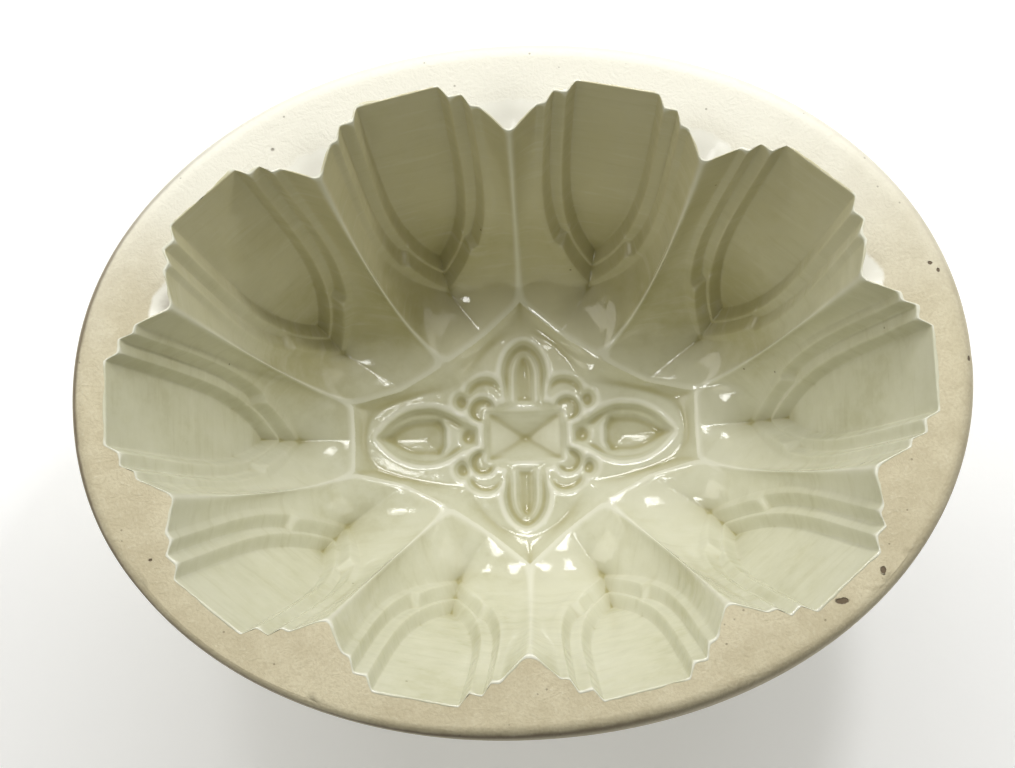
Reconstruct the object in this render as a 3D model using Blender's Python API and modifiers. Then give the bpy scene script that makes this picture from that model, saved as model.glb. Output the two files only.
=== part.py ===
"""An oval stoneware jelly mould: ten pointed flutes round a leaf rosette, opening upwards.

The mould stands on its foot with its mouth at the top, so the shape of the jelly is a hollow.
Lengths are metres and heights run up +Z from the foot. A depth is measured down from the rim.
"""
import math

import bmesh
import bpy
from mathutils import Matrix, Vector
from mathutils.geometry import delaunay_2d_cdt

# Outer body
LENGTH = 0.193
WIDTH = 0.151
HEIGHT = 0.086
OVAL_POWER = 2.06
OVAL_STEPS = 60
LIP_RUN = 0.0042
LIP_DROP = 0.0050
GLAZE_LINE_DROP = 0.0066
TAPER_RUN = 0.0238
SHOULDER_TOP = 0.016
SHOULDER_RUN = 0.0075
FOOT_HEIGHT = 0.0050
FOOT_WIDTH = 0.0056
FOOT_DRY_BAND = 0.0012
RECESS_DEPTH = 0.0039
RECESS_DRAFT = 0.0012

# Glaze coats and the gap that keeps them off the clay
GLAZE = 0.0006
GAP = 0.0003
CAVITY_EDGE_DROP = 0.0004

# Hand-pressed: the hollow sits a little off the middle of the block and turned in it
HOLLOW_AT = (-0.0003, -0.0014)
HOLLOW_TURN = -1.0
ROSETTE_TURN = -0.9

# Flutes, as the bearing of the middle of the panel's top edge and the rim left outside it,
# the way the panel faces, the way it leans as it goes down, and how far to its point
FLUTES = {
    "end": dict(bearing=0.0, rim_width=0.0085, faces=0.0, leans=0.0, lean_length=0.0254),
    "quarter": dict(bearing=33.5, rim_width=0.0093, faces=49.8, leans=43.0, lean_length=0.0246),
    "side": dict(bearing=69.7, rim_width=0.0086, faces=77.7, leans=76.5, lean_length=0.0222),
}
# Valley at the bottom of each flute: bearing and reach of its inner end from the middle
VALLEY_ENDS = {"end": (0.0, 0.0412), "quarter": (21.6, 0.0317), "side": (68.4, 0.0258)}

# Arrises between flutes: bearing at the rim and the rim left outside it, bearing and reach
# of the foot, and how far the middle of the ridge bows towards the end of the mould
ARRISES = {
    "end to quarter": dict(bearing=15.4, rim_width=0.0186, foot=(11.8, 0.0422), bow=0.0),
    "quarter to side": dict(bearing=48.8, rim_width=0.0208, foot=(43.1, 0.0256), bow=0.0018),
    "side to side": dict(bearing=90.0, rim_width=0.0196, foot=(90.0, 0.0322), bow=0.0),
}
ARRIS_FALL = 1.8

# Pointed-arch mouldings round each panel, from the panel outwards
PANEL_HALF = 0.00915
PANEL_DEPTH = 0.058
RISER_SPLAY = 0.0016
STEP_BACK = 0.00305
TREAD = 0.0029
TREAD_BELOW_STOP = 0.0007
OUTER_SPLAY = 0.0012
OUTER_TREAD = 0.0018
OUTER_TREAD_BACK = 0.0005
POINT_GROWTH = (0.0, 0.0, 0.0016, 0.0025, 0.0040, 0.0048)
ARCH_DRAW_IN = 0.14
ARCH_POINT = 5
ROWS = (0.0, 0.20, 0.40, 0.56, 0.69, 0.782, 0.796, 0.86, 0.92, 0.965, 1.0)
STOP_ROW = 6
ARRIS_ROWS = 8

# Crown: the sunken floor at the bottom and the two crossed ovals of its outline
ARRIS_DEPTH = 0.0625
VALLEY_DEPTH = 0.0632
FLOOR_DEPTH = 0.0655
LONG_OVAL = (0.0405, 0.0131, 2.6)
CROSS_OVAL = (0.0164, 0.0256, 2.1)

# Rosette: how far each shape sinks below the crown's floor, and how wide its sloping side is
FOIL_AT = (0.0095, 0.0090)
FOIL_RADIUS = 0.0056
FOIL_SINK = 0.0018
FOIL_SIDE = 0.0013
KNOB_AT = (0.0148, 0.0083)
KNOB_RADIUS = 0.0029
KNOB_SINK = 0.0023
KNOB_SIDE = 0.0020
CUSP_AT = (0.0103, 0.0064)
CUSP_RADIUS = 0.0038
CUSP_SINK = 0.0034
CUSP_SIDE = 0.0010
LEAF_SINK = 0.0026
LEAF_SIDE = 0.0014
LEAF_BUTT_SHARE = 0.15
LONG_LEAF = dict(inner=0.0100, widest=0.0230, tip=0.0364, half=0.0073, back=1.7, point=2.6, round=1.0)
CROSS_LEAF = dict(inner=0.0040, widest=0.0140, tip=0.0232, half=0.0059, back=9.0, point=2.2, round=0.55)
VEIN_SINK = 0.0044
LONG_VEIN = dict(inner=0.0181, widest=0.0245, tip=0.0334, half=0.0042, back=5.0, point=2.3, round=1.0)
CROSS_VEIN = dict(inner=0.0040, widest=0.0135, tip=0.0206, half=0.0030, back=9.0, point=2.6, round=0.6)
VEIN_STEP = 0.0004
VEIN_DRAFT = 0.0003
CROWN_MERGE = 0.00003
FRAME_SINK = 0.0046
FRAME_SIDE = 0.0007
FRAME_HALF = (0.0119, 0.0066)
FRAME_BOW = (0.0006, 0.0023)
JEWEL_SINK = 0.0072
JEWEL_STEP = 0.0003
JEWEL_HALF = (0.0095, 0.0062)


def clear_scene():
    """Remove whatever the scene holds."""
    for thing in list(bpy.data.objects):
        bpy.data.objects.remove(thing, do_unlink=True)


def new_collection(name):
    """A collection in the scene, by name."""
    group = bpy.data.collections.new(name)
    bpy.context.scene.collection.children.link(group)
    return group


def finish(name, colour, roughness, coat):
    """A Principled material for fired clay or for glaze."""
    material = bpy.data.materials.new(name)
    material.use_nodes = True
    shader = material.node_tree.nodes["Principled BSDF"]
    shader.inputs["Base Color"].default_value = (*colour, 1.0)
    shader.inputs["Roughness"].default_value = roughness
    shader.inputs["Metallic"].default_value = 0.0
    shader.inputs["Coat Weight"].default_value = coat
    return material


def mesh_object(name, bm, group, material=None):
    """Turn a bmesh into a named object in a collection."""
    mesh = bpy.data.meshes.new(name)
    bm.to_mesh(mesh)
    bm.free()
    thing = bpy.data.objects.new(name, mesh)
    group.objects.link(thing)
    if material:
        mesh.materials.append(material)
    return thing


def polar(bearing, reach):
    """A point in plan from a bearing in degrees and a distance."""
    angle = math.radians(bearing)
    return Vector((reach * math.cos(angle), reach * math.sin(angle)))


def oval_reach(bearing, half_x, half_y, power):
    """Distance from the middle to an oval along a bearing."""
    ray = polar(bearing, 1.0)
    spread = (abs(ray.x) / half_x) ** power + (abs(ray.y) / half_y) ** power
    return spread ** (-1.0 / power)


def oval_ring(inset, height):
    """One level of the outer wall, with points evenly spread in the oval's own angle."""
    half_x = LENGTH / 2 - inset
    half_y = WIDTH / 2 - inset
    ring = []
    for step in range(OVAL_STEPS):
        angle = 2 * math.pi * step / OVAL_STEPS
        side, rise = math.cos(angle), math.sin(angle)
        x = math.copysign(half_x * abs(side) ** (2 / OVAL_POWER), side)
        y = math.copysign(half_y * abs(rise) ** (2 / OVAL_POWER), rise)
        ring.append(Vector((x, y, height)))
    return ring


def loft(rings, capped):
    """Faces between rings that run from the top down, with or without end faces."""
    bm = bmesh.new()
    rows = [[bm.verts.new(point) for point in ring] for ring in rings]
    count = len(rows[0])
    for upper, lower in zip(rows, rows[1:]):
        for here in range(count):
            after = (here + 1) % count
            bm.faces.new((upper[here], lower[here], lower[after], upper[after]))
    if capped:
        bm.faces.new(rows[0])
        bm.faces.new(list(reversed(rows[-1])))
    bmesh.ops.recalc_face_normals(bm, faces=bm.faces)
    return bm


def foot_inset():
    """Inset of the foot ring's outer side, on the glaze."""
    return TAPER_RUN + SHOULDER_RUN


def wall_profile(buried):
    """Insets and heights down the wall to the foot, or the same line buried in the clay."""
    top = HEIGHT - GLAZE_LINE_DROP
    profile = [Vector((0.0, top))]
    for share in (1 / 3, 2 / 3, 1.0):
        profile.append(Vector((share * TAPER_RUN, top + share * (SHOULDER_TOP - top))))
    for step in range(1, 4):
        turn = math.pi / 2 * step / 3
        inset = TAPER_RUN + SHOULDER_RUN * (1 - math.cos(turn))
        profile.append(Vector((inset, SHOULDER_TOP - (SHOULDER_TOP - FOOT_HEIGHT) * math.sin(turn))))
    profile.append(Vector((foot_inset(), FOOT_DRY_BAND)))
    moved = []
    for before, here, after in zip(profile[:1] + profile[:-1], profile, profile[1:] + profile[-1:]):
        first = (here - before).normalized() if here != before else (after - here).normalized()
        second = (after - here).normalized() if after != here else first
        way = Vector((-first.y - second.y, first.x + second.x)).normalized()
        moved.append(here + way * buried / way.dot(Vector((-first.y, first.x))))
    return moved


def rim_point(feature):
    """Where a flute or an arris starts in plan: its own width of rim inside the outer oval."""
    reach = oval_reach(feature["bearing"], LENGTH / 2, WIDTH / 2, OVAL_POWER)
    return polar(feature["bearing"], reach - feature["rim_width"])


def lean_vector(flute):
    """How far and which way a panel leans from the rim to its point."""
    return -polar(flute["leans"], flute["lean_length"])


def arch(share):
    """Share of an arch's width that is left at a share of its depth."""
    return (1 - ARCH_DRAW_IN * share) * (1 - share ** ARCH_POINT)


def mouldings(row):
    """Set-back and half width at the rim of each edge from the panel to the vault."""
    tread = TREAD if row < STOP_ROW else TREAD_BELOW_STOP
    first = PANEL_HALF + RISER_SPLAY
    second = first + tread
    third = second + OUTER_SPLAY
    vault = first + TREAD + OUTER_SPLAY + OUTER_TREAD
    return (
        (0.0, 0.0),
        (0.0, PANEL_HALF),
        (STEP_BACK, first),
        (STEP_BACK, second),
        (2 * STEP_BACK, third),
        (2 * STEP_BACK + OUTER_TREAD_BACK, vault),
    )


def moulding_point(flute, edge, growth, row, side):
    """Where an edge of the mouldings lies on one row."""
    set_back, half = edge
    share = ROWS[row]
    depth = (PANEL_DEPTH + growth) * share
    middle = rim_point(flute)
    facing = polar(flute["faces"], 1.0)
    across = Vector((-facing.y, facing.x))
    place = middle - set_back * facing + lean_vector(flute) * (depth / PANEL_DEPTH)
    place += side * half * arch(share) * across
    return Vector((place.x, place.y, HEIGHT - depth))


def arris_point(arris, row):
    """A point down the ridge between two flutes, steep at the rim and level at its foot."""
    drop = ROWS[row] / ROWS[ARRIS_ROWS]
    share = 1 - (1 - drop) ** (1 / ARRIS_FALL)
    start = rim_point(arris)
    place = start.lerp(polar(*arris["foot"]), share)
    along = (polar(*arris["foot"]) - start).normalized()
    bow = arris["bow"] * 4 * share * (1 - share)
    place += bow * Vector((-along.y, along.x))
    return Vector((place.x, place.y, HEIGHT - ARRIS_DEPTH * drop))


def boundary_point(arris, valley_end, row):
    """The outer side of half a flute: down the arris, then along the crown's edge."""
    if row <= ARRIS_ROWS:
        return arris_point(arris, row)
    foot = arris_point(arris, ARRIS_ROWS)
    place = polar(*valley_end)
    end = Vector((place.x, place.y, HEIGHT - VALLEY_DEPTH))
    return foot.lerp(end, (row - ARRIS_ROWS) / (len(ROWS) - 1 - ARRIS_ROWS))


def half_flute(bm, flute_name, side, arris_name):
    """Half a flute: panel, two steps, vault. Returns the points on the crown's edge."""
    flute = FLUTES[flute_name]
    arris = ARRISES[arris_name]
    rows = []
    for row in range(len(ROWS)):
        edges = zip(mouldings(row), POINT_GROWTH)
        points = [moulding_point(flute, edge, growth, row, side) for edge, growth in edges]
        points.append(boundary_point(arris, VALLEY_ENDS[flute_name], row))
        rows.append([bm.verts.new(point) for point in points])
    for upper, lower in zip(rows, rows[1:]):
        for here in range(len(upper) - 1):
            corners = (upper[here], upper[here + 1], lower[here + 1], lower[here])
            bm.faces.new(corners if side > 0 else corners[::-1])
    return [row[-1].co.copy() for row in rows[ARRIS_ROWS:]]


def crown_reach(bearing):
    """Distance from the middle to the edge of the crown's floor."""
    return max(oval_reach(bearing, *LONG_OVAL), oval_reach(bearing, *CROSS_OVAL))


def crown(bm, edge):
    """The slope from the flutes down to the crown's floor."""
    floor = []
    for point in edge:
        bearing = math.degrees(math.atan2(point.y, point.x))
        place = polar(bearing, crown_reach(bearing))
        floor.append(Vector((place.x, place.y, HEIGHT - FLOOR_DEPTH)))
    upper = [bm.verts.new(point) for point in edge]
    lower = [bm.verts.new(point) for point in floor]
    for here in range(len(edge) - 1):
        bm.faces.new((upper[here], upper[here + 1], lower[here + 1], lower[here]))


def cavity_sheet():
    """The open surface of the hollow: one quarter, mirrored across both axes."""
    bm = bmesh.new()
    edge = half_flute(bm, "end", 1, "end to quarter")[::-1]
    edge += half_flute(bm, "quarter", -1, "end to quarter")[1:]
    edge += half_flute(bm, "quarter", 1, "quarter to side")[::-1][1:]
    edge += half_flute(bm, "side", -1, "quarter to side")[1:]
    edge += half_flute(bm, "side", 1, "side to side")[::-1][1:]
    crown(bm, edge)
    merge = 1e-6
    for vert in bm.verts:
        vert.co.x = 0.0 if abs(vert.co.x) < merge else vert.co.x
        vert.co.y = 0.0 if abs(vert.co.y) < merge else vert.co.y
    for axis in ("X", "Y"):
        everything = bm.verts[:] + bm.edges[:] + bm.faces[:]
        bmesh.ops.mirror(bm, geom=everything, axis=axis, merge_dist=merge)
    bmesh.ops.remove_doubles(bm, verts=bm.verts, dist=merge)
    bmesh.ops.dissolve_degenerate(bm, edges=bm.edges, dist=merge)
    low = HEIGHT - FLOOR_DEPTH + merge
    ring = [part for part in bm.edges if part.is_boundary and part.verts[0].co.z < low]
    bmesh.ops.contextual_create(bm, geom=ring)
    bmesh.ops.recalc_face_normals(bm, faces=bm.faces)
    lowest = min(bm.faces, key=lambda face: face.calc_center_median().z)
    if lowest.normal.z < 0:
        bmesh.ops.reverse_faces(bm, faces=bm.faces)
    return bm


def inside_by(outline, place):
    """How far a point lies inside an outline; below zero outside it."""
    nearest = math.inf
    crossings = 0
    for start, end in zip(outline, outline[1:] + outline[:1]):
        run = end - start
        share = (place - start).dot(run) / run.length_squared
        nearest = min(nearest, (place - start - min(1.0, max(0.0, share)) * run).length)
        if (start.y > place.y) != (end.y > place.y):
            crossings += start.x + run.x * (place.y - start.y) / run.y > place.x
    return nearest if crossings % 2 else -nearest


def drawn_in(outline, amount):
    """An outline moved inwards by an amount, or outwards where it is negative."""
    moved = []
    for before, here, after in zip(outline[-1:] + outline[:-1], outline, outline[1:] + outline[:1]):
        first, second = (here - before).normalized(), (after - here).normalized()
        way = Vector((-first.y - second.y, first.x + second.x)).normalized()
        moved.append(here + way * amount / max(0.5, way.dot(Vector((-first.y, first.x)))))
    return moved


def disc(centre, radius, steps):
    """A round outline."""
    turns = (2 * math.pi * step / steps for step in range(steps))
    return [Vector(centre) + radius * Vector((math.cos(turn), math.sin(turn))) for turn in turns]


def leaf(inner, widest, tip, half, back, point, round):
    """A leaf along +X, anticlockwise from its tip: widest part way, drawn in at both ends."""
    upper = []
    for share in (0.98, 0.88, 0.70, 0.45, 0.0):
        upper.append(Vector((widest + (tip - widest) * share, half * (1 - share ** point) ** round)))
    for share in (0.5, 0.8, 1.0):
        width = half * max(LEAF_BUTT_SHARE, 1 - share ** back)
        upper.append(Vector((widest + (inner - widest) * share, width)))
    return [Vector((tip, 0.0))] + upper + [Vector((place.x, -place.y)) for place in reversed(upper)]


def bowed(half, bow, steps):
    """A rectangle whose sides bow outwards, anticlockwise."""
    corners = ((1, -1), (1, 1), (-1, 1), (-1, -1))
    outline = []
    for here, after in zip(corners, corners[1:] + corners[:1]):
        for step in range(steps):
            share = step / steps
            swell = 2 * share * (1 - share)
            x = half[0] * (here[0] + (after[0] - here[0]) * share)
            y = half[1] * (here[1] + (after[1] - here[1]) * share)
            outline.append(Vector((x + bow[0] * swell * (here[0] + after[0]),
                                   y + bow[1] * swell * (here[1] + after[1]))))
    return outline


def turned(outline, quarter_turns):
    """An outline turned about the middle."""
    turn = Matrix.Rotation(math.pi / 2 * quarter_turns, 2)
    return [turn @ place for place in outline]


def rosette():
    """Every sunk shape: outline, depth at its side's foot and at its keel, and the side's width."""
    shapes = []
    for side, rise in ((1, 1), (-1, 1), (-1, -1), (1, -1)):
        foil = disc((side * FOIL_AT[0], rise * FOIL_AT[1]), FOIL_RADIUS, 14)
        knob = disc((side * KNOB_AT[0], rise * KNOB_AT[1]), KNOB_RADIUS, 10)
        cusp = disc((side * CUSP_AT[0], rise * CUSP_AT[1]), CUSP_RADIUS, 12)
        shapes.append((foil, 0.0, FOIL_SINK, FOIL_SIDE))
        shapes.append((knob, 0.0, KNOB_SINK, KNOB_SIDE))
        shapes.append((cusp, 0.0, CUSP_SINK, CUSP_SIDE))
    for turns in range(4):
        blade, vein = (CROSS_LEAF, CROSS_VEIN) if turns % 2 else (LONG_LEAF, LONG_VEIN)
        shapes.append((turned(leaf(**blade), turns), 0.0, LEAF_SINK, LEAF_SIDE))
        shapes.append((turned(leaf(**vein), turns), LEAF_SINK + VEIN_STEP, VEIN_SINK, vein["half"]))
    shapes.append((bowed(FRAME_HALF, FRAME_BOW, 4), 0.0, FRAME_SINK, FRAME_SIDE))
    return shapes


def keel(vein, turns):
    """The line along the bottom of a vein."""
    ends = (vein["inner"] + vein["half"], vein["widest"], vein["tip"] - vein["half"])
    return turned([Vector((end, 0.0)) for end in sorted(ends)], turns)


def sunk_by(shapes, place, grow):
    """How far the rosette lies below the crown's floor at a point, before its turn."""
    depth = 0.0
    for outline, edge, bottom, side in shapes:
        inside = inside_by(outline, place) + grow
        if inside > 1e-7:
            depth = max(depth, edge + (bottom - edge) * min(1.0, inside / side))
    away = max(abs(place.x) / (JEWEL_HALF[0] + grow), abs(place.y) / (JEWEL_HALF[1] + grow))
    if away < 1.0 - 1e-4:
        start = FRAME_SINK + JEWEL_STEP
        depth = max(depth, start + (JEWEL_SINK - start) * (1 - away))
    return depth


def fill_crown(bm, grow):
    """Put the rosette in place of the crown's flat floor."""
    flat = min(bm.faces, key=lambda face: face.calc_center_median().z)
    ring = list(flat.verts)
    level = sum(vert.co.z for vert in ring) / len(ring)
    bmesh.ops.delete(bm, geom=[flat], context="FACES_ONLY")
    points = []
    lines = []

    def draw(outline, closed=True):
        first = len(points)
        points.extend(place.to_2d() for place in outline)
        count = len(outline)
        lines.extend((first + here, first + (here + 1) % count) for here in range(count - (not closed)))

    draw([vert.co for vert in ring])
    shapes = rosette()
    for outline, edge, bottom, side in shapes:
        draw(drawn_in(outline, -grow))
        if edge > 0.0:
            draw(drawn_in(outline, VEIN_DRAFT - grow))
        else:
            draw(drawn_in(outline, side - grow))
    for turns in range(4):
        draw(keel(CROSS_VEIN if turns % 2 else LONG_VEIN, turns), closed=False)
    jewel = (JEWEL_HALF[0] + grow, JEWEL_HALF[1] + grow)
    draw(bowed(jewel, (0.0, 0.0), 1))
    draw(bowed((jewel[0] - VEIN_DRAFT, jewel[1] - VEIN_DRAFT), (0.0, 0.0), 1))
    points.append(Vector((0.0, 0.0)))
    turn = Matrix.Rotation(math.radians(ROSETTE_TURN), 2)
    points = [place if index < len(ring) else turn @ place for index, place in enumerate(points)]
    inside_only = 1
    found = delaunay_2d_cdt(points, lines, [], inside_only, CROWN_MERGE)
    places, _, triangles, sources = found[:4]
    made = []
    for place, source in zip(places, sources):
        on_ring = [index for index in source if index < len(ring)]
        if on_ring:
            made.append(ring[on_ring[0]])
        else:
            sunk = sunk_by(shapes, place @ turn, grow)
            made.append(bm.verts.new((place.x, place.y, level - sunk)))
    for corners in triangles:
        bm.faces.new([made[index] for index in corners])


def cavity_plug(name, grow, group, material=None):
    """A closed solid of the hollow, pushed back into the clay, with a lid above the rim."""
    bm = cavity_sheet()
    bm.normal_update()
    shifts = [vert.normal * -grow * vert.calc_shell_factor() for vert in bm.verts]
    for vert, shift in zip(bm.verts, shifts):
        vert.co += shift
    fill_crown(bm, grow)
    bmesh.ops.triangulate(bm, faces=bm.faces)
    border = [rim for rim in bm.edges if rim.is_boundary]
    raised = bmesh.ops.extrude_edge_only(bm, edges=border)["geom"]
    lid = [part for part in raised if isinstance(part, bmesh.types.BMVert)]
    for vert in lid:
        vert.co.z = HEIGHT + LIP_DROP
    loop = [part for part in raised if isinstance(part, bmesh.types.BMEdge) and part.is_boundary]
    bmesh.ops.contextual_create(bm, geom=loop)
    bmesh.ops.recalc_face_normals(bm, faces=bm.faces)
    bmesh.ops.rotate(bm, verts=bm.verts, matrix=Matrix.Rotation(math.radians(HOLLOW_TURN), 3, "Z"))
    bmesh.ops.translate(bm, verts=bm.verts, vec=(*HOLLOW_AT, 0.0))
    return mesh_object(name, bm, group, material)


def cut_with(thing, cutter):
    """Take a cutter out of an object, and show the cutter as wire."""
    cut = thing.modifiers.new(cutter.name, "BOOLEAN")
    cut.operation = "DIFFERENCE"
    cut.solver = "EXACT"
    cut.object = cutter
    cutter.hide_render = True
    cutter.display_type = "WIRE"


def make_body(group, cutters, material):
    """The fired clay: an oval block with a rounded lip, a foot ring and the hollow."""
    rings = []
    for step in range(5):
        turn = math.pi / 2 * step / 4
        inset = LIP_RUN * (1 - math.sin(turn))
        rings.append(oval_ring(inset, HEIGHT - LIP_DROP * (1 - math.cos(turn))))
    buried = GLAZE + GAP
    rings.append(oval_ring(0.0, HEIGHT - GLAZE_LINE_DROP + 2 * GAP))
    profile = wall_profile(buried)
    rings.append(oval_ring(profile[0].x, HEIGHT - GLAZE_LINE_DROP + GAP))
    rings += [oval_ring(inset, height) for inset, height in profile[1:-1]]
    outside = foot_inset() + buried
    inside = outside + FOOT_WIDTH
    rings.append(oval_ring(outside, 0.0))
    rings.append(oval_ring(inside, 0.0))
    rings.append(oval_ring(inside + RECESS_DRAFT, RECESS_DEPTH))
    body = mesh_object("mould_body", loft(rings, True), group, material)
    hollow = cavity_plug("hollow_in_clay", buried, cutters)
    cut_with(body, hollow)
    return body


def make_cavity_glaze(group, cutters, material):
    """The glassy lining of the hollow, up to just under the rim."""
    lining = cavity_plug("cavity_glaze", GLAZE, group, material)
    cut_with(lining, cavity_plug("hollow", 0.0, cutters))
    bm = bmesh.new()
    bmesh.ops.create_cube(bm, size=2 * LENGTH)
    bmesh.ops.translate(bm, verts=bm.verts, vec=(0.0, 0.0, LENGTH + HEIGHT - CAVITY_EDGE_DROP))
    cut_with(lining, mesh_object("above_rim", bm, cutters))
    return lining


def make_outer_glaze(group, material):
    """The coat on the outer wall, from under the lip to just above the dry foot."""
    rings = [oval_ring(inset, height) for inset, height in wall_profile(0.0)]
    wall = mesh_object("outer_glaze", loft(rings, False), group, material)
    coat = wall.modifiers.new("coat", "SOLIDIFY")
    coat.thickness = GLAZE
    coat.offset = -1
    coat.use_even_offset = True
    return wall


def make_base_glaze(group, material):
    """The coat on the underside, inside the foot ring."""
    inset = foot_inset() + GLAZE + GAP + FOOT_WIDTH + RECESS_DRAFT + GAP
    top = RECESS_DEPTH - GAP
    rings = [oval_ring(inset, top), oval_ring(inset, top - GLAZE / 2)]
    rings.append(oval_ring(inset + GLAZE / 2, top - GLAZE))
    return mesh_object("base_glaze", loft(rings, True), group, material)


def main():
    clear_scene()
    group = new_collection("jelly_mould")
    cutters = new_collection("cutters")
    clay = finish("fired clay", (0.60, 0.52, 0.38), 0.85, 0.0)
    inner_glaze = finish("cavity glaze", (0.66, 0.67, 0.50), 0.12, 0.6)
    wall_glaze = finish("outer glaze", (0.76, 0.73, 0.58), 0.18, 0.5)
    base_coat = finish("base glaze", (0.72, 0.70, 0.55), 0.22, 0.4)
    body = make_body(group, cutters, clay)
    lining = make_cavity_glaze(group, cutters, inner_glaze)
    wall = make_outer_glaze(group, wall_glaze)
    base = make_base_glaze(group, base_coat)
    for piece in (body, lining, wall, base):
        piece.data.shade_smooth()
        piece.data.set_sharp_from_angle(angle=math.radians(25))


if __name__ == "__main__":
    main()
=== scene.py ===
"""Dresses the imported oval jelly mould: dry clay, a pooled glaze in the hollow and a plain coat outside.

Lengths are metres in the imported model's own frame: the mould stands on its foot and opens up +Z,
with its long axis on X. The hollow is laid out about its own middle, then turned and moved.
"""
import math

import bmesh
import bpy
import numpy as np
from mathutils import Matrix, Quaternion, Vector, noise
from mathutils.geometry import delaunay_2d_cdt


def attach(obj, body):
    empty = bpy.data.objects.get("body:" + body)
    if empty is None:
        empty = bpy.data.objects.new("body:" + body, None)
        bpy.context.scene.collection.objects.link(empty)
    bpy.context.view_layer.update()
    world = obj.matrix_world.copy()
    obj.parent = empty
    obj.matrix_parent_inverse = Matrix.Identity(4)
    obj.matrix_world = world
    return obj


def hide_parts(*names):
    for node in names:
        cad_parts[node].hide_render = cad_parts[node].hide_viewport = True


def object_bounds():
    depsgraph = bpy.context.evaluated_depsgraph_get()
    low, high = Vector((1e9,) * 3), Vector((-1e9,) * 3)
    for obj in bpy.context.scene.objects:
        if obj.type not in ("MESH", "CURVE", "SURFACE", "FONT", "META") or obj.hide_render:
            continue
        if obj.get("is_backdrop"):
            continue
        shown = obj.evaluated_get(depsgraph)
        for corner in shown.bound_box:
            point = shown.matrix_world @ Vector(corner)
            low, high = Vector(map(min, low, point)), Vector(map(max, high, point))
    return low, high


bl_info = {
    "name": "Oval Jelly Mould",
    "version": (1, 0, 0),
    "blender": (4, 5, 0),
    "location": "View3D > Sidebar > Jelly Mould",
    "description": "Builds the clay and the glazes of an oval jelly mould over its packed model",
    "category": "Object",
}

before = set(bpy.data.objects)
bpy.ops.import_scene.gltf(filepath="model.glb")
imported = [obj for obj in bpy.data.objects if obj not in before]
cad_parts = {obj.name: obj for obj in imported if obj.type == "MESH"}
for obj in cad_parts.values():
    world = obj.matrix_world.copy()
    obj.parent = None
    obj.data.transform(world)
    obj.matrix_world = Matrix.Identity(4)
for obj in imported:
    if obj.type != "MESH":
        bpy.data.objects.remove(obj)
CAD_LOW, CAD_HIGH = (tuple(corner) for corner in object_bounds())

WELD = 2e-6

# Flutes: bearing and rim width outside the panel, the way it faces and leans, and how far
FLUTES = {
    "end": dict(bearing=0.0, rim_width=0.0085, faces=0.0, leans=0.0, lean_length=0.0254),
    "quarter": dict(bearing=33.5, rim_width=0.0093, faces=49.8, leans=43.0, lean_length=0.0246),
    "side": dict(bearing=69.7, rim_width=0.0086, faces=77.7, leans=76.5, lean_length=0.0222),
}
VALLEY_ENDS = {"end": (0.0, 0.0412), "quarter": (21.6, 0.0317), "side": (68.4, 0.0258)}
# Ridges between flutes: bearing and rim width at the top, where the foot is, and the bow
RIDGES = {
    "end to quarter": dict(bearing=15.4, rim_width=0.0186, foot=(11.8, 0.0422), bow=0.0),
    "quarter to side": dict(bearing=48.8, rim_width=0.0208, foot=(43.1, 0.0256), bow=0.0018),
    "side to side": dict(bearing=90.0, rim_width=0.0196, foot=(90.0, 0.0322), bow=0.0),
}
RIDGES_OF = {
    "end": ("end to quarter", "end to quarter"),
    "quarter": ("end to quarter", "quarter to side"),
    "side": ("quarter to side", "side to side"),
}
RIDGE_FALL = 1.8
VAULT_HOLLOW = 0.0006
RIDGE_LINE = 0.0007
# Shares of a flute's depth, and how far its vaults are hollowed and its ridges blunted there
VAULT_FADE = ((0.0, 0.25, 0.7, 0.95, 1.0), (0.0, 0.5, 1.0, 1.0, 0.0))
BLUNT_FADE = ((0.0, 0.12, 0.5), (1.0, 0.8, 0.12))
BLUNT_REACH = 2.2

# Pointed mouldings round each panel, from the panel outwards
PANEL_HALF = 0.00915
PANEL_DEPTH = 0.058
RISER_SPLAY = 0.0016
STEP_BACK = 0.00305
TREAD = 0.0029
TREAD_BELOW_STOP = 0.0007
STOP_SHARES = (0.782, 0.796)
OUTER_SPLAY = 0.0012
OUTER_TREAD = 0.0018
OUTER_TREAD_BACK = 0.0005
POINT_GROWTH = (0.0, 0.0, 0.0016, 0.0025, 0.0040, 0.0048)
ARCH_DRAW_IN = 0.14
ARCH_POINT = 5

# Rows down a flute, as shares of its depth, and columns between two edges of its mouldings
RIM_SHARES = (0.0, 0.003, 0.007, 0.013, 0.022, 0.035, 0.055)
WALL_SHARES = (0.08, 0.11, 0.15, 0.19, 0.24, 0.29, 0.34, 0.39, 0.44, 0.49, 0.54, 0.585, 0.63,
               0.67, 0.71, 0.745, 0.768, 0.778, 0.784, 0.789, 0.794, 0.800, 0.815, 0.84, 0.865,
               0.89, 0.906)
FOOT_SHARES = (0.92, 0.93, 0.94, 0.95, 0.96, 0.97, 0.979, 0.987, 0.994, 0.998, 1.0)
CROWN_SHARES = (0.92, 0.965, 1.0)
COLUMNS = (9, 6, 6, 6, 6, 15)
COARSE_COLUMNS = 3
COARSE_WALL_ROWS = 3
COARSE_FOOT_ROWS = 2

# Rounding: points added past a line's ends, and rows above the foot whose borders stay in place
ROUNDING_PAD = 14
KEPT_WALL_ROWS = 4
# Softening, from an edge of a flute inwards, and the part of it at the crown's edge
SOFT_FADE = (1.0, 0.9, 0.7, 0.45, 0.2)
SOFT_WALL_ROWS = 3
CROWN_EDGE_SOFTNESS = 0.5
# How far each round takes a point, or a value, towards the mean of its neighbours
SOFTEN_SHARE = 0.5
SETTLE_SHARE = 0.6

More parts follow.
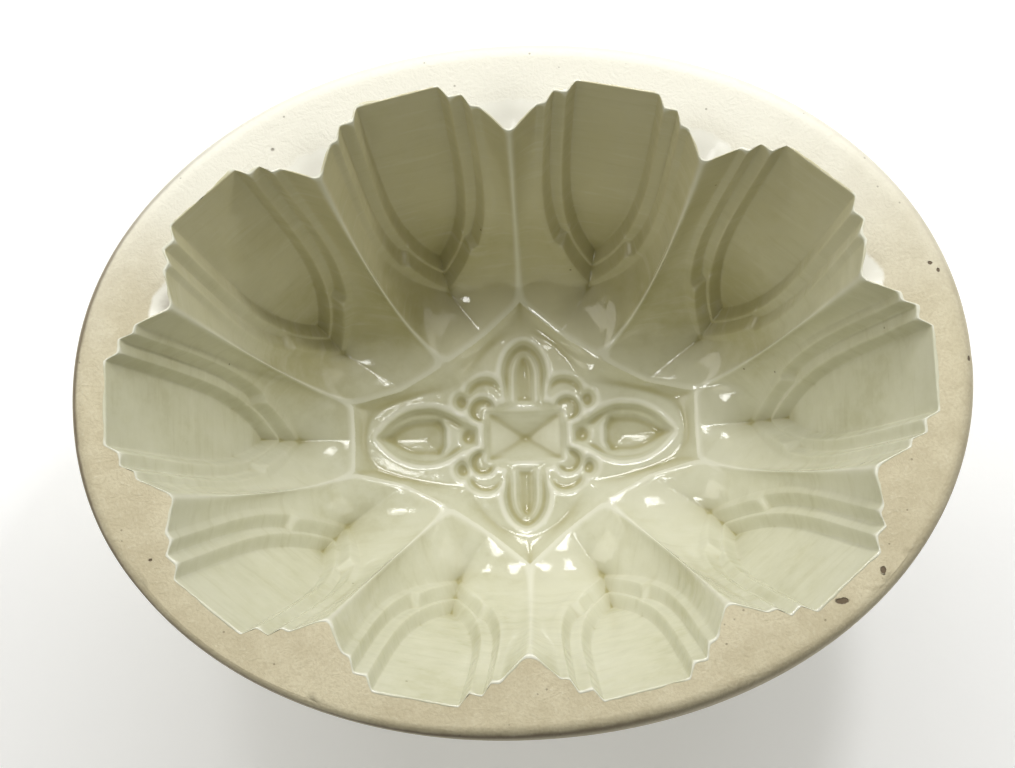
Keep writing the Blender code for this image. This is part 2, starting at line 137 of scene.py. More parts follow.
# Crown: the sunken floor at the bottom and the two crossed ovals of its outline
RIDGE_DEPTH = 0.0625
VALLEY_DEPTH = 0.0632
FLOOR_DEPTH = 0.0655
LONG_OVAL = (0.0405, 0.0131, 2.6)
CROSS_OVAL = (0.0164, 0.0256, 2.1)
CROWN_EASE = 0.95
CROWN_EASE_POWER = 1.5
CROWN_CLIMB_LIMIT = 1.3
CROWN_SOFT_REACH = 0.0011
CROWN_LOOP_MARGIN = 0.002

# Rosette: place or shape, how far each sinks below the crown's floor, and its side's width
FOIL = dict(at=(0.0095, 0.0090), radius=0.0056, sink=0.0018, side=0.0013)
KNOB = dict(at=(0.0148, 0.0083), radius=0.0029, sink=0.0023, side=0.0020)
CUSP = dict(at=(0.0103, 0.0064), radius=0.0038, sink=0.0034, side=0.0010)
LEAF_SINK = 0.0026
LEAF_SIDE = 0.0015
LEAF_BUTT_SHARE = 0.50
LEAF_POINT_STEPS = 18
LEAF_BUTT_PLACES = (0.1, 1.0, 10)
LONG_LEAF = dict(inner=0.0100, widest=0.0230, tip=0.0364, half=0.0073, back=1.7, point=2.6, round=1.0)
CROSS_LEAF = dict(inner=0.0040, widest=0.0140, tip=0.0232, half=0.0059, back=9.0, point=2.2, round=0.55)
VEIN_SIDE = 0.0008
VEIN_SIDE_SHARE = 0.62
LONG_VEIN_SINK = 0.0047
CROSS_VEIN_SINK = 0.0040
LONG_VEIN = dict(inner=0.0190, widest=0.0245, tip=0.0343, half=0.0047, back=11.0, point=2.2, round=1.0)
CROSS_VEIN = dict(inner=0.0040, widest=0.0135, tip=0.0200, half=0.0026, back=9.0, point=2.6, round=0.6)
NECK = dict(at=(0.0138, 0.0), radius=0.0046, sink=0.0036, side=0.0034)
JEWEL_FRAME = dict(half=(0.0104, 0.0066), bow=(0.0003, 0.0021), sink=0.0031, side=0.0007)
JEWEL = dict(half=(0.0096, 0.0064), step=0.0006, side=0.0009, sink=0.0072)

# Height map of the crown
MAP_HALF = (0.047, 0.036)
MAP_STEP = 0.0002
CROWN_GRID = 0.00036
COARSE_CROWN_GRID = 0.0010
COARSE_CROWN_REACH = 0.0013
CROWN_CLEARANCE = 0.55
MAP_EDGE = 1.001
TRIANGLE_WELD = 1e-7

# Outer wall and foot
WALL_STEPS = 288
LIP_RUN = 0.0042
LIP_DROP = 0.0050
LIP_STEPS = 10
GLAZE_LINE_DROP = 0.0066
TAPER_RUN = 0.0238
SHOULDER_TOP = 0.016
SHOULDER_RUN = 0.0075
FOOT_HEIGHT = 0.0050
FOOT_WIDTH = 0.0056
FOOT_DRY_BAND = 0.0012
FOOT_ROUNDING = 0.0007
RECESS_DEPTH = 0.0039
RECESS_DRAFT = 0.0012
TAPER_STEPS = 12
SHOULDER_STEPS = 8
FOOT_ROUND_STEPS = 4
RECESS_SHRINKS = (0.75, 0.5, 0.25, 0.0)
CLAY_UNDER_COAT = 0.00002
CLAY_ABOVE_LINE = 0.0006
LIP_DENT = 0.00022
LIP_DENT_WAVE = (2.4, 5.0)

# Coats of glaze over the clay
GLAZE = 0.0006
GAP = 0.0003
RIM_SET_DOWN = 0.00014
GLAZE_ROLL = 0.0006
ROLL_SHARES = (1.0, 0.62, 0.30)
ROLL_DROPS = (0.00020, 0.00003, 0.0)
CLAY_INSIDE_ROLL = 0.00016
RIM_GRID = 0.0014
RIM_CLEARANCE = 0.4
SHELL_LIMIT = 1.6
JOIN_LIMIT = 1e-5
CLAY_SHARP = 50.0
COAT_SHARP = 60.0
# How far above and below the rim's plane the border of each sheet is looked for
RIM_LOOP_ABOVE = 0.001
SHEET_LOOP_BELOW = 0.001
CLAY_LOOP_BELOW = 0.0005
GLAZE_LOOP_BELOW = 0.0012
# The rim's glaze edge wanders: how far, features per metre, and a shift of the pattern
EDGE_WANDER = ((0.00040, 420.0, (0.0, 0.0, 0.0)), (0.00055, 110.0, (3.0, 1.0, 0.0)))
# How hollow the surface may count, the rounds that even it out, and the bend that counts as one
BEND_LIMIT = 800.0
POOLED_ROUNDS = 6
POOLED_BEND = 360
HOLLOWED_ROUNDS = 70
HOLLOWED_BEND = 110
# The wall coat's edges: share of the coat or distance inwards, and lift; then how they wander
COAT_TOP_EDGE = ((0.4, 0.0002), (0.08, 0.0001))
COAT_FOOT_EDGE = ((0.0, 0.0005), (0.00006, 0.0001), (0.0003, 0.0))
COAT_BACK_LIFT = 0.0001
COAT_TOP_WANDER = (0.0005, 5.0, 1.0, -0.6)
COAT_FOOT_WANDER = (0.0003, 6.0, 2.0, 0.6)
# The base coat: shrink of its back, its drawn-up edge, and shrink and ripple of its face
BASE_BACK_SHRINKS = (0.0, 0.3, 0.6, 0.85)
BASE_MEETS_WALL = ((0.0010, -0.0001), (0.0024, 0.0))
BASE_FACE_SHRINKS = (0.95, 0.88, 0.8, 0.7, 0.55, 0.4, 0.25, 0.1, 0.0)
BASE_RIPPLE = 0.00008
BASE_RIPPLE_SCALE = 3.0
BASE_RIPPLE_SHIFT = 0.4
# The base coat's rounded edge, as shares of the coat: how far down it starts and how far it runs
BASE_EDGE_DROP = 0.5
BASE_EDGE_RUN = 0.2

# Worn points of the rim between the flutes: bearing, how far each sinks, and how wide
WORN_POINTS = (
    (15.4, 0.0010, 0.0050), (48.8, 0.0016, 0.0065), (90.0, 0.0019, 0.0075), (131.2, 0.0016, 0.0065),
    (164.6, 0.0011, 0.0050), (195.4, 0.0004, 0.0040), (228.8, 0.0004, 0.0045), (270.0, 0.0003, 0.0040),
    (311.2, 0.0004, 0.0045), (344.6, 0.0004, 0.0040),
)
WORN_REACH_DOWN = 0.012
WORN_POWER = 1.5

# Painted shade on the far side of the hollow, and painted sheen on the far side of the rim: from and to
# along Y
FAR_SIDE_SHADE_RUN = (-0.005, 0.050)
RIM_SHEEN_RUN = (0.000, 0.062)
# Painted shade low on the far side, in the far wall's shadow: heights from and to, and the same along Y
LOW_SHADE_TOP = (0.052, 0.036)
LOW_SHADE_FOOT = (0.0238, 0.0275)
LOW_SHADE_SIDE = (0.002, 0.020)
# Streaks per metre along X, Y and Z where the glaze was poured round
STRATA = (60.0, 60.0, 520.0)

# The lip is worn flatter in places: middle and spread in degrees, and how much
FLAT_LIPS = ((232.0, 42.0, 0.62), (322.0, 28.0, 0.50))
# Glaze flooded over the worn points: least sinking, and reach outwards and sideways in widths
FLOOD_LEAST_SINK = 0.0008
FLOOD_REACH = 1.1
FLOOD_SPREAD = 1.5

# Small pits in the clay of the rim: place, and half its length along X and Y
PITS = (((0.0731, -0.0450), (0.0007, 0.0010)), ((0.0641, -0.0508), (0.0016, 0.0007)),
        ((0.0886, 0.0198), (0.0005, 0.0004)), ((0.0902, 0.0182), (0.0004, 0.0005)),
        ((0.0952, -0.0011), (0.0004, 0.0007)), ((-0.0796, -0.0339), (0.0004, 0.0003)))
# Painted shadow along the lip's outer edge on one side: heights where it starts, is full and fades, and the
# bearing it lies on
LIP_SHADOW_EDGE = dict(high=0.0853, low=0.0844, fade=0.0825, turn=222.0)

# Noises: features per metre, detail, roughness and distortion
GLAZE_CLOUD = (26.0, 2.0, 0.5, 0.4)
GLAZE_MOTTLE = (240.0, 4.0, 0.6)
GLAZE_GRAIN = (420.0, 3.0)
GLAZE_STREAKS = (1.0, 3.0, 0.55, 0.3)
GLAZE_WAVE = (70.0, 2.0, 0.5)
GLAZE_FINE = (650.0, 2.0, 0.5)
WALL_GRAIN = (900.0, 3.0, 0.6)
WALL_WAVE = (55.0, 2.0)
BASE_POOL = (48.0, 3.0, 0.5, 0.6)
CLAY_CLOUD = (32.0, 3.0, 0.55, 0.3)
CLAY_MOTTLE = (170.0, 4.0, 0.6)
CLAY_GRAIN = (1500.0, 3.0, 0.65)
CLAY_WIPED = (330.0, 4.0, 0.6, 2.2)
# Scattered spots: per metre, the step of their size, and the step that picks which of them show
PINHOLES = (150.0, (0.05, 0.025), (0.80, 0.82))
KILN_SPECKS = (330.0, (0.10, 0.05), (0.86, 0.88))
IRON_SPECKS = (480.0, (0.16, 0.07), (0.88, 0.90))
CLAY_PITS = (120.0, (0.09, 0.05), (0.90, 0.92))
# Steps of a value from and to, and how strongly its colour is washed over the ground from and to
THIN_CLOUDS = (0.38, 0.62, 0.0, 0.30)
POOLED_CLOUDS = (0.46, 0.36, 0.0, 0.16)
# Broad hollows and creases: pooled glaze and painted shade; sharp edges: thin glaze and painted highlight
BROAD_POOLS_AND_SHADE = (0.05, 0.6, 0.0, 0.40)
CREASE_POOLS_AND_SHADE = (0.03, 0.50, 0.0, 0.78)
EDGE_BREAKS_AND_HIGHLIGHTS = (-0.04, -0.40, 0.0, 0.90)
PALE_STREAKS = (0.54, 0.74, 0.0, 0.13)
DARK_STREAKS = (0.46, 0.28, 0.0, 0.12)
CLAY_SHOWN = (0.56, 0.72, 0.0, 0.25)
BASE_POOLED = (0.5, 0.66, 0.0, 0.4)
CLAY_SHADED = (0.60, 0.38, 0.0, 0.55)
DARK_GRAIN = (0.55, 0.36, 0.0, 0.35)
PALE_GRAIN = (0.55, 0.74, 0.0, 0.22)
WIPED_DARK = (0.44, 0.30, 0.0, 0.35)
# Frays the painted shade low on the far side by the glaze's tone
LOW_SHADE_TONE = (0.34, 0.62, 1.0, 0.55)
# Parts of the tone that clouds a glaze, and of the tone of the clay
CLOUD_PART = 0.65
MOTTLE_PART = 0.35
CLAY_PART = 0.5
# How strongly each colour covers where its mark is full
# Painted shade on the far side of the hollow
FAR_SIDE_SHADE_COVER = 0.8
# Painted shade low on the far side
LOW_SHADE_COVER = 0.62
# Thin glaze and painted highlight on the ridges
RIDGE_THIN_AND_HIGHLIGHT_COVER = 0.7
HOLLOW_HOLES = 0.55
WALL_HOLES = 0.7
BASE_SPECKS = 0.5
SPECK_COVER = 0.45
PIT_COVER = 0.9
# Painted sheen on the rim, paler towards the far side
RIM_SHEEN_COVER = 0.85
# Glaze over the worn points, painted near-white: partly glaze, partly a painted highlight
FLOOD_GLAZE_AND_HIGHLIGHT_COVER = 0.9
# How far noise frays the borders of pools, pits, floods, the painted sheen and the painted lip shadow, and
# their edges' steps
POOL_FRAY = 0.25
PIT_FRAY = 1.6
FLOOD_FRAY = 0.5
RIM_SHEEN_FRAY = 0.03
LIP_SHADOW_FRAY = 0.0008
PIT_EDGE = (1.0, 0.75)
FLOOD_EDGE = (0.36, 0.52)
LIP_SHADOW_SIDE = (-0.01, 0.06, 0.12, 0.85)
LIP_SHADOW_FADE = (0.3, 1.0)
# Relief: how much each mark adds to the height or takes from it
FINE_RELIEF = 0.05
HOLE_RELIEF = 0.12
WALL_RELIEF = 0.06
BASE_HOLE_RELIEF = 0.1
GRAIN_RELIEF = 0.50
WIPED_RELIEF = 0.8
RELIEF_LEVEL = 0.65
SPECK_RELIEF = 0.3
PIT_RELIEF = 2.0
FLOODED_RELIEF = 0.12
# Gloss: steps of the glaze's tone, its roughness there, and the plain values of each shader
TONE_SPAN = (0.3, 0.7)
GLOSS_SPREAD = (1.2, 0.8)
FLOOD_DULLER = 0.04
WALL_ROUGHNESS = (0.20, 0.13)
BASE_ROUGHNESS = (0.22, 0.14)
HOLLOW_SHADER = dict(ior=1.5, coat_weight=0.35, coat_roughness=0.05)
WALL_SHADER = dict(ior=1.5, coat_weight=0.25, coat_roughness=0.08)
BASE_SHADER = dict(ior=1.5, coat_weight=0.3, coat_roughness=0.06)
CLAY_SHADER = dict(ior=1.45)
# Depth of each bump
GLAZE_BUMP = 0.0007
BASE_BUMP = 0.0008
CLAY_BUMP = 0.00018
FLOOR_BUMP = 0.00005

# Panes seen only in the gloss: bearing from +Y towards +X and rise in degrees, and size
GLINTS = (
    (0.0, 68.0, (0.22, 0.20)), (12.0, 41.0, (0.09, 0.30)), (-14.0, 41.0, (0.09, 0.24)),
    (-48.0, 81.0, (0.09, 0.07)), (-133.0, 47.0, (0.16, 0.16)), (0.0, 20.0, (1.6, 0.10)),
)
GLINT_DISTANCE = 1.0
# Lights: bearing and rise as above, distance, size, and the setting that holds the power
LIGHTS = (
    ("window", 0.0, 45.0, 1.20, (1.8, 0.5), "window_light"),
    ("right_lamp", 33.0, 49.0, 0.62, (0.08, 0.08), "right_lamp"),
    ("left_lamp", -33.0, 49.0, 0.62, (0.08, 0.08), "left_lamp"),
    ("left_fill", -90.0, 40.0, 1.10, (0.8, 0.5), "left_fill"),
    ("right_fill", 90.0, 40.0, 1.10, (0.8, 0.5), "right_fill"),
)
LIT_MIDDLE = (0.0, 0.0, 0.086)
WHITE = (1.0, 1.0, 1.0)
FILL_TINT = (1.0, 0.965, 0.85)
SKY_TINT = (1.0, 0.96, 0.80, 1.0)
SENSOR_WIDTH = 36.0
CLIPPING = (0.01, 20.0)
FLOOR_HALF = 3.0
FLOOR_DROP = 0.0001
FLOOR_SHADE = 0.97
FLOOR_ROUGHNESS = 0.6
FLOOR_CLOUD = (3.0, 2.0)
FLOOR_GRAIN = 500.0


# Settings

def setting(name, description, default, **limits):
    """One number in the panel."""
    return bpy.props.FloatProperty(name=name, description=description, default=default, **limits)


def length(name, description, default, least=0.0):
    """A length in the panel."""
    return setting(name, description, default, min=least, unit="LENGTH")


def angle(name, description, degrees):
    """An angle in the panel."""
    return setting(name, description, math.radians(degrees), subtype="ANGLE", unit="ROTATION")


def gloss(name, description, default):
    """A roughness in the panel."""
    return setting(name, description, default, min=0.0, max=1.0, subtype="FACTOR")


def power(name, description, default):
    """A light's power in the panel."""
    return setting(name, description + ", in watts", default, min=0.0)


def colour(name, description, default):
    """A colour in the panel."""
    return bpy.props.FloatVectorProperty(name=name, description=description, size=3, subtype="COLOR",
                                         min=0.0, max=1.0, default=default)


def offset(name, description, default):
    """A place or a distance along the axes in the panel."""
    return bpy.props.FloatVectorProperty(name=name, description=description, size=len(default),
                                         default=default, subtype="TRANSLATION", unit="LENGTH")


class MouldSizes(bpy.types.PropertyGroup):
    """Sizes of the mould as a whole"""
    length: length("Length", "Long axis of the outer oval", CAD_HIGH[0] - CAD_LOW[0], 0.1)
    width: length("Width", "Short axis of the outer oval", CAD_HIGH[1] - CAD_LOW[1], 0.08)
    height: length("Height", "From the foot's bearing face to the rim", CAD_HIGH[2] - CAD_LOW[2], 0.08)
    squareness: setting("Squareness", "Power of the outer oval: 2 is an ellipse", 2.06, min=1.5)
    hollow_offset: offset("Hollow Offset", "Middle of the hollow from the middle of the oval",
                          (-0.0003, -0.0014))
    hollow_turn: angle("Hollow Turn", "Turn of the hollow in the oval", -1.0)
    rosette_turn: angle("Rosette Turn", "Turn of the rosette in the hollow", -0.9)


class MouldSoftness(bpy.types.PropertyGroup):
    """How far the glaze and the pressing have rounded the shape"""
    moulding: length("Mouldings", "Rounding along the edges of the mouldings", 0.00036)
    rim: length("Rim", "Rounding of the glaze over the rim's inner edge", 0.00026)
    rosette: length("Rosette", "Rounding of the rosette", 0.00046)
    ridge_top: length("Ridge Tops", "Blunting of the ridges between the flutes, at the rim", 0.0013, 0.0001)
    ridges: bpy.props.IntProperty(
        name="Ridges", description="Rounds of smoothing along ridges, valleys and the crown's edge",
        default=9, min=0)


class MouldFinish(bpy.types.PropertyGroup):
    """Colours and gloss of the clay and the glaze"""
    # Thin glaze over edges, also used as painted highlight on edges and ridges
    thin_glaze_and_highlight: colour("Thin Glaze", "Glaze where it breaks over an edge", (0.78, 0.775, 0.66))
    glaze: colour("Glaze", "Glaze on an even wall", (0.615, 0.61, 0.455))
    # Pooled glaze, also used as painted shade in creases, hollows and on the far side
    pooled_glaze_and_shade: colour("Pooled Glaze", "Glaze where it has run together", (0.37, 0.335, 0.145))
    # Painted shade: darker olive glaze on the far side, whose walls face away from the light
    far_side_shade_glaze: colour("Thick Glaze", "Glaze on the side that it ran to in the kiln", (0.55, 0.505, 0.30))
    # Painted sheen towards the far side of the rim, and the near-white glaze over its worn points, partly a
    # painted highlight
    rim_sheen_and_glaze: colour("Rim Film", "Thin glaze left on the far side of the rim", (0.85, 0.84, 0.75))
    outside_glaze: colour("Outside Glaze", "Thinner coat on the outer wall and the base",
                          (0.72, 0.69, 0.54))
    clay: colour("Clay", "Fired clay of the dry rim and foot", (0.65, 0.59, 0.418))
    clay_shade: colour("Clay Shade", "Darker tone of the clay, handled and stained", (0.50, 0.435, 0.285))
    iron: colour("Iron Specks", "Specks and pits that burn out dark", (0.10, 0.065, 0.035))
    # Painted shadow: a dark brown line where the lip's edge lies in shade on one side
    lip_shadow: colour("Stain", "Brown line round the handled edge of the lip", (0.14, 0.10, 0.05))
    glaze_roughness: gloss("Glaze Roughness", "Roughness of the glossy glaze", 0.10)
    clay_roughness: gloss("Clay Roughness", "Roughness of the dry clay", 0.62)


class MouldStage(bpy.types.PropertyGroup):
    """Camera, light and floor"""
    camera_at: offset("Camera", "Where the camera stands", (0.00551, -0.08479, 0.54443))
    camera_aim: offset("Aim", "Point of the rim's plane in the middle of the picture",
                       (-0.00267, -0.00095, 0.086))
    camera_roll: angle("Roll", "Turn of the picture about the line of sight", -8.888)
    lens: setting("Lens", "Focal length in millimetres on a 36 mm sensor", 78.03, min=10.0)
    window_light: power("Window", "Power of the wide window light behind the mould", 12.4)
    right_lamp: power("Right Lamp", "Power of the small lamp behind on the right", 1.25)
    left_lamp: power("Left Lamp", "Power of the small lamp behind on the left", 0.45)
    left_fill: power("Left Fill", "Power of the soft light on the left", 2.1)
    right_fill: power("Right Fill", "Power of the soft light on the right", 1.3)
    glint_light: setting("Glints", "Brightness of the panes seen only in the glaze's gloss", 11.0, min=0.0)
    floor_glow: setting("Floor Glow", "Light from the lit sweep under the mould", 0.22, min=0.0)
    sky: setting("Sky", "Strength of the even light all round", 0.13, min=0.0)
    floor: colour("Floor", "Colour of the floor", (0.90, 0.905, 0.92))


# Plan and flutes

def polar(bearing, reach):
    """A point in plan from a bearing in degrees and a distance."""
    return reach * np.array([math.cos(math.radians(bearing)), math.sin(math.radians(bearing))])


def oval_reach(bearing, half_x, half_y, power):
    """Distance from the middle to an oval along a bearing in degrees, or along many."""
    turn = np.radians(bearing)
    spread = np.abs(np.cos(turn) / half_x) ** power + np.abs(np.sin(turn) / half_y) ** power
    return spread ** (-1.0 / power)


def rim_point(feature, sizes):
    """Where a flute or a ridge starts in plan, inside the outer oval."""
    reach = oval_reach(feature["bearing"], sizes.length / 2, sizes.width / 2, sizes.squareness)
    return polar(feature["bearing"], reach - feature["rim_width"])


def moulding_lines(flute, side, shares, sizes):
    """The six edges of half a flute's mouldings, each a line down the flute."""
    stop = np.interp(shares, STOP_SHARES, (0.0, 1.0))
    tread = TREAD + (TREAD_BELOW_STOP - TREAD) * stop
    first = PANEL_HALF + RISER_SPLAY
    halves = (0.0, PANEL_HALF, first, first + tread, first + tread + OUTER_SPLAY,
              first + TREAD + OUTER_SPLAY + OUTER_TREAD)
    backs = (0.0, 0.0, STEP_BACK, STEP_BACK, 2 * STEP_BACK, 2 * STEP_BACK + OUTER_TREAD_BACK)
    narrowing = (1 - ARCH_DRAW_IN * shares) * (1 - shares ** ARCH_POINT)
    facing = polar(flute["faces"], 1.0)
    across = np.array([-facing[1], facing[0]])
    lean = -polar(flute["leans"], flute["lean_length"])
    lines = []
    for half, back, growth in zip(halves, backs, POINT_GROWTH):
        depth = (PANEL_DEPTH + growth) * shares
        plan = rim_point(flute, sizes) - back * facing + np.outer(depth / PANEL_DEPTH, lean)
        plan = plan + np.outer(side * half * narrowing, across)
        lines.append(np.column_stack((plan, sizes.height - depth)))
    return lines


def ridge_line(ridge, valley_end, shares, sizes):
    """The outer edge of half a flute: down the ridge, then along the crown's edge."""
    drop = np.minimum(shares / CROWN_SHARES[0], 1.0)
    along = 1 - (1 - drop) ** (1 / RIDGE_FALL)
    start = rim_point(ridge, sizes)
    run = polar(*ridge["foot"]) - start
    sideways = np.array([-run[1], run[0]]) / np.hypot(*run)
    plan = start + np.outer(along, run) + np.outer(4 * ridge["bow"] * along * (1 - along), sideways)
    line = np.column_stack((plan, sizes.height - RIDGE_DEPTH * drop))
    past = np.interp(shares, CROWN_SHARES, (0.0, 0.5, 1.0))[:, None]
    end = np.append(polar(*valley_end), sizes.height - VALLEY_DEPTH)
    return line + past * (end - line)


def column_places(count, from_middle):
    """Shares of the way from one edge to the next, closest together beside the creases."""
    steps = np.arange(count) / count
    return np.sin(math.pi / 2 * steps) if from_middle else (1 - np.cos(math.pi * steps)) / 2


def half_flute(name, side, ridge_name, shares, sizes):
    """Half a flute as rows down and columns out, from the middle of its panel to the ridge."""
    lines = moulding_lines(FLUTES[name], side, shares, sizes)
    lines.append(ridge_line(RIDGES[ridge_name], VALLEY_ENDS[name], shares, sizes))
    run = lines[-1] - lines[-2]
    outward = side * np.column_stack((run[:, 1], -run[:, 0])) / np.hypot(run[:, 0], run[:, 1])[:, None]
    depth = VAULT_HOLLOW * np.interp(shares, *VAULT_FADE)
    columns = []
    for gap, count in enumerate(COLUMNS):
        for share in column_places(count, gap == 0):
            line = lines[gap] + share * (lines[gap + 1] - lines[gap])
            if gap == len(COLUMNS) - 1:
                line[:, :2] += (4 * share * (1 - share) * depth)[:, None] * outward
            columns.append(line)
    columns.append(lines[-1])
    return np.stack(columns, axis=1)


def rounded(lines, radius, mirrors=None):
    """Lines whose points run along axis 1, rounded over a radius; their ends are kept or mirrored."""
    if radius <= 0.0:
        return lines
    result = np.empty_like(lines)
    for index, line in enumerate(lines):
        count = min(ROUNDING_PAD, len(line) - 1)
        if mirrors:
            before, after = line[count:0:-1] * mirrors[0], line[-2:-2 - count:-1] * mirrors[1]
        else:
            before, after = 2 * line[0] - line[count:0:-1], 2 * line[-1] - line[-2:-2 - count:-1]
        padded = np.vstack((before, line, after))
        steps = np.linalg.norm(np.diff(padded, axis=0), axis=1)
        place = np.concatenate(([0.0], np.cumsum(steps)))
        span = np.zeros(len(padded))
        span[1:-1] = (place[2:] - place[:-2]) / 2 + 1e-9
        away = (place[count:count + len(line), None] - place[None, :]) / radius
        weight = np.exp(-away * away / 2) * span
        result[index] = (weight @ padded) / weight.sum(axis=1, keepdims=True)
    if not mirrors:
        result[:, 0], result[:, -1] = lines[:, 0], lines[:, -1]
    return result


def blunted(chain, ridge_columns, shares, softness):
    """Round a quarter's rows, and blunt its ridges towards the rim."""
    mirrors = (np.array([1.0, -1.0, 1.0]), np.array([-1.0, 1.0, 1.0]))
    fine = rounded(chain, softness.moulding, mirrors)
    wide = rounded(chain, softness.ridge_top, mirrors)
    near = np.full(chain.shape[:2], np.inf)
    for column in ridge_columns:
        near = np.minimum(near, np.linalg.norm(chain - chain[:, column:column + 1], axis=2))
    fade = np.interp(shares, *BLUNT_FADE)[:, None]
    share = (np.exp(-(near / (BLUNT_REACH * softness.ridge_top)) ** 2) * fade)[:, :, None]
    return fine + share * (wide - fine)


def flute_patches(sizes, softness):
    """The three flutes of a quarter, rounded, with the glaze rolled over the rim."""
    shares = np.array(RIM_SHARES + WALL_SHARES + FOOT_SHARES)
    joined = len(RIM_SHARES) + len(WALL_SHARES) + 1
    patches = {}
    for name, (left_ridge, right_ridge) in RIDGES_OF.items():
        right = half_flute(name, 1, right_ridge, shares, sizes)
        left = half_flute(name, -1, left_ridge, shares, sizes)
        patches[name] = np.concatenate((left[:, ::-1], right[:, 1:]), axis=1)
    wide = patches["side"].shape[1]
    middle = wide // 2
    chain = np.concatenate((patches["end"][:joined, middle:], patches["quarter"][:joined, 1:],
                            patches["side"][:joined, 1:]), axis=1)
    ridges = (middle, middle + wide - 1, middle + 2 * wide - 2)
    chain = blunted(chain, ridges, shares[:joined], softness)
    chain[:, 0, 1], chain[:, -1, 0] = 0.0, 0.0
    for name, patch in patches.items():
        patch[joined:] = rounded(patch[joined:], softness.moulding)
    patches["end"][:joined, middle:] = chain[:, :middle + 1]
    patches["end"][:joined, :middle] = chain[:, middle:0:-1] * np.array([1.0, -1.0, 1.0])
    patches["quarter"][:joined] = chain[:, middle:middle + wide]
    patches["side"][:joined] = chain[:, middle + wide - 1:]
    return {name: rolled_over(patch, sizes, softness) for name, patch in patches.items()}


def rolled_over(patch, sizes, softness):
    """A flute with the glaze rolled outwards over the rim, and rounded down the wall."""
    top = patch[0]
    outward = top[:, :2] / np.linalg.norm(top[:, :2], axis=1, keepdims=True)
    roll = []
    for share, drop in zip(ROLL_SHARES, ROLL_DROPS):
        plan = top[:, :2] + share * GLAZE_ROLL * outward
        roll.append(np.column_stack((plan, np.full(len(plan), sizes.height - drop))))
    patch = np.concatenate((np.stack(roll), patch))
    turned = rounded(patch.transpose(1, 0, 2), softness.rim).transpose(1, 0, 2)
    kept = len(ROLL_SHARES) + len(RIM_SHARES) + len(WALL_SHARES) - KEPT_WALL_ROWS
    turned[kept:, 0], turned[kept:, -1] = patch[kept:, 0], patch[kept:, -1]
    turned[0] = patch[0]
    return turned


def softness_map(rows, columns):
    """How freely each point of a patch is smoothed: most on ridges, valleys and the crown's edge."""
    soft = np.zeros((rows, columns))
    low = rows - len(FOOT_SHARES) - SOFT_WALL_ROWS
    for step, value in enumerate(SOFT_FADE):
        for column in (step, columns - 1 - step):
            soft[low:, column] = np.maximum(soft[low:, column], value)
        soft[rows - 1 - step] = np.maximum(soft[rows - 1 - step], CROWN_EDGE_SOFTNESS * value)
    soft[:len(ROLL_SHARES) + 1] = 0.0
    return soft


def quarter_mesh(sizes, softness, coarse):
    """A quarter of the hollow's flutes as one mesh, with each point's roll, softness and ridge."""
    roll = len(ROLL_SHARES)
    wall = roll + len(RIM_SHARES) + len(WALL_SHARES)
    last = wall + len(FOOT_SHARES) - 1
    every_row = list(range(last + 1))
    if coarse:
        kept = [0, roll] + list(range(roll + 3, wall, COARSE_WALL_ROWS))
        every_row = kept + list(range(wall, last + 1, COARSE_FOOT_ROWS))
    places, faces, rolls, softs, ridges = [], [], [], [], []
    for name, patch in flute_patches(sizes, softness).items():
        middle = patch.shape[1] // 2
        soft = softness_map(*patch.shape[:2])
        away = [np.linalg.norm(patch - border, axis=2) for border in (patch[:, :1], patch[:, -1:])]
        ridge = np.exp(-(np.minimum(*away) / RIDGE_LINE) ** 2)
        step = COARSE_COLUMNS if coarse else 1
        first = middle if name == "end" else 0
        columns = list(range(first, patch.shape[1], step))
        if name == "end":
            patch[:, middle, 1] = 0.0
        if name == "side":
            patch[:wall + 1, -1, 0] = 0.0
        start = len(places)
        for row in every_row:
            for column in columns:
                places.append(patch[row, column])
                rolls.append(ROLL_SHARES[row] if row < roll else 0.0)
                softs.append(soft[row, column])
                ridges.append(ridge[row, column])
        wide = len(columns)
        for row in range(len(every_row) - 1):
            for column in range(wide - 1):
                here = start + row * wide + column
                faces.append((here, here + 1, here + 1 + wide, here + wide))
    mesh = bpy.data.meshes.new("hollow_quarter")
    mesh.from_pydata([tuple(place) for place in places], [], faces)
    for label, values in (("roll", rolls), ("soft", softs), ("ridge", ridges)):
        add_values(mesh, label, values)
    return mesh


def add_values(mesh, name, values):
    """Keep one number for each point of a mesh."""
    layer = mesh.attributes.get(name) or mesh.attributes.new(name, "FLOAT", "POINT")
    layer.data.foreach_set("value", np.asarray(values, np.float32))


# Geometry node trees

def node_tree(name, inputs):
    """A geometry node tree with a weld, named inputs and a material, and its two end nodes."""
    tree = bpy.data.node_groups.new(name, "GeometryNodeTree")
    tree.interface.new_socket("Geometry", in_out="INPUT", socket_type="NodeSocketGeometry")
    for label, kind in (("Weld Distance", "Float"), *inputs, ("Material", "Material")):
        tree.interface.new_socket(label, in_out="INPUT", socket_type="NodeSocket" + kind)
    tree.interface.new_socket("Geometry", in_out="OUTPUT", socket_type="NodeSocketGeometry")
    return tree, tree.nodes.new("NodeGroupInput"), tree.nodes.new("NodeGroupOutput")


def calculate(tree, operation, *values):
    """A Math node whose inputs are sockets or plain numbers; returns its output."""
    made = tree.nodes.new("ShaderNodeMath")
    made.operation = operation
    for socket, value in zip(made.inputs, values):
        if isinstance(value, (int, float)):
            socket.default_value = value
        else:
            tree.links.new(value, socket)
    return made.outputs[0]


def stored(tree, name):
    """The output of a Named Attribute node for numbers."""
    reader = tree.nodes.new("GeometryNodeInputNamedAttribute")
    reader.data_type = "FLOAT"
    reader.inputs["Name"].default_value = name
    return reader.outputs["Attribute"]


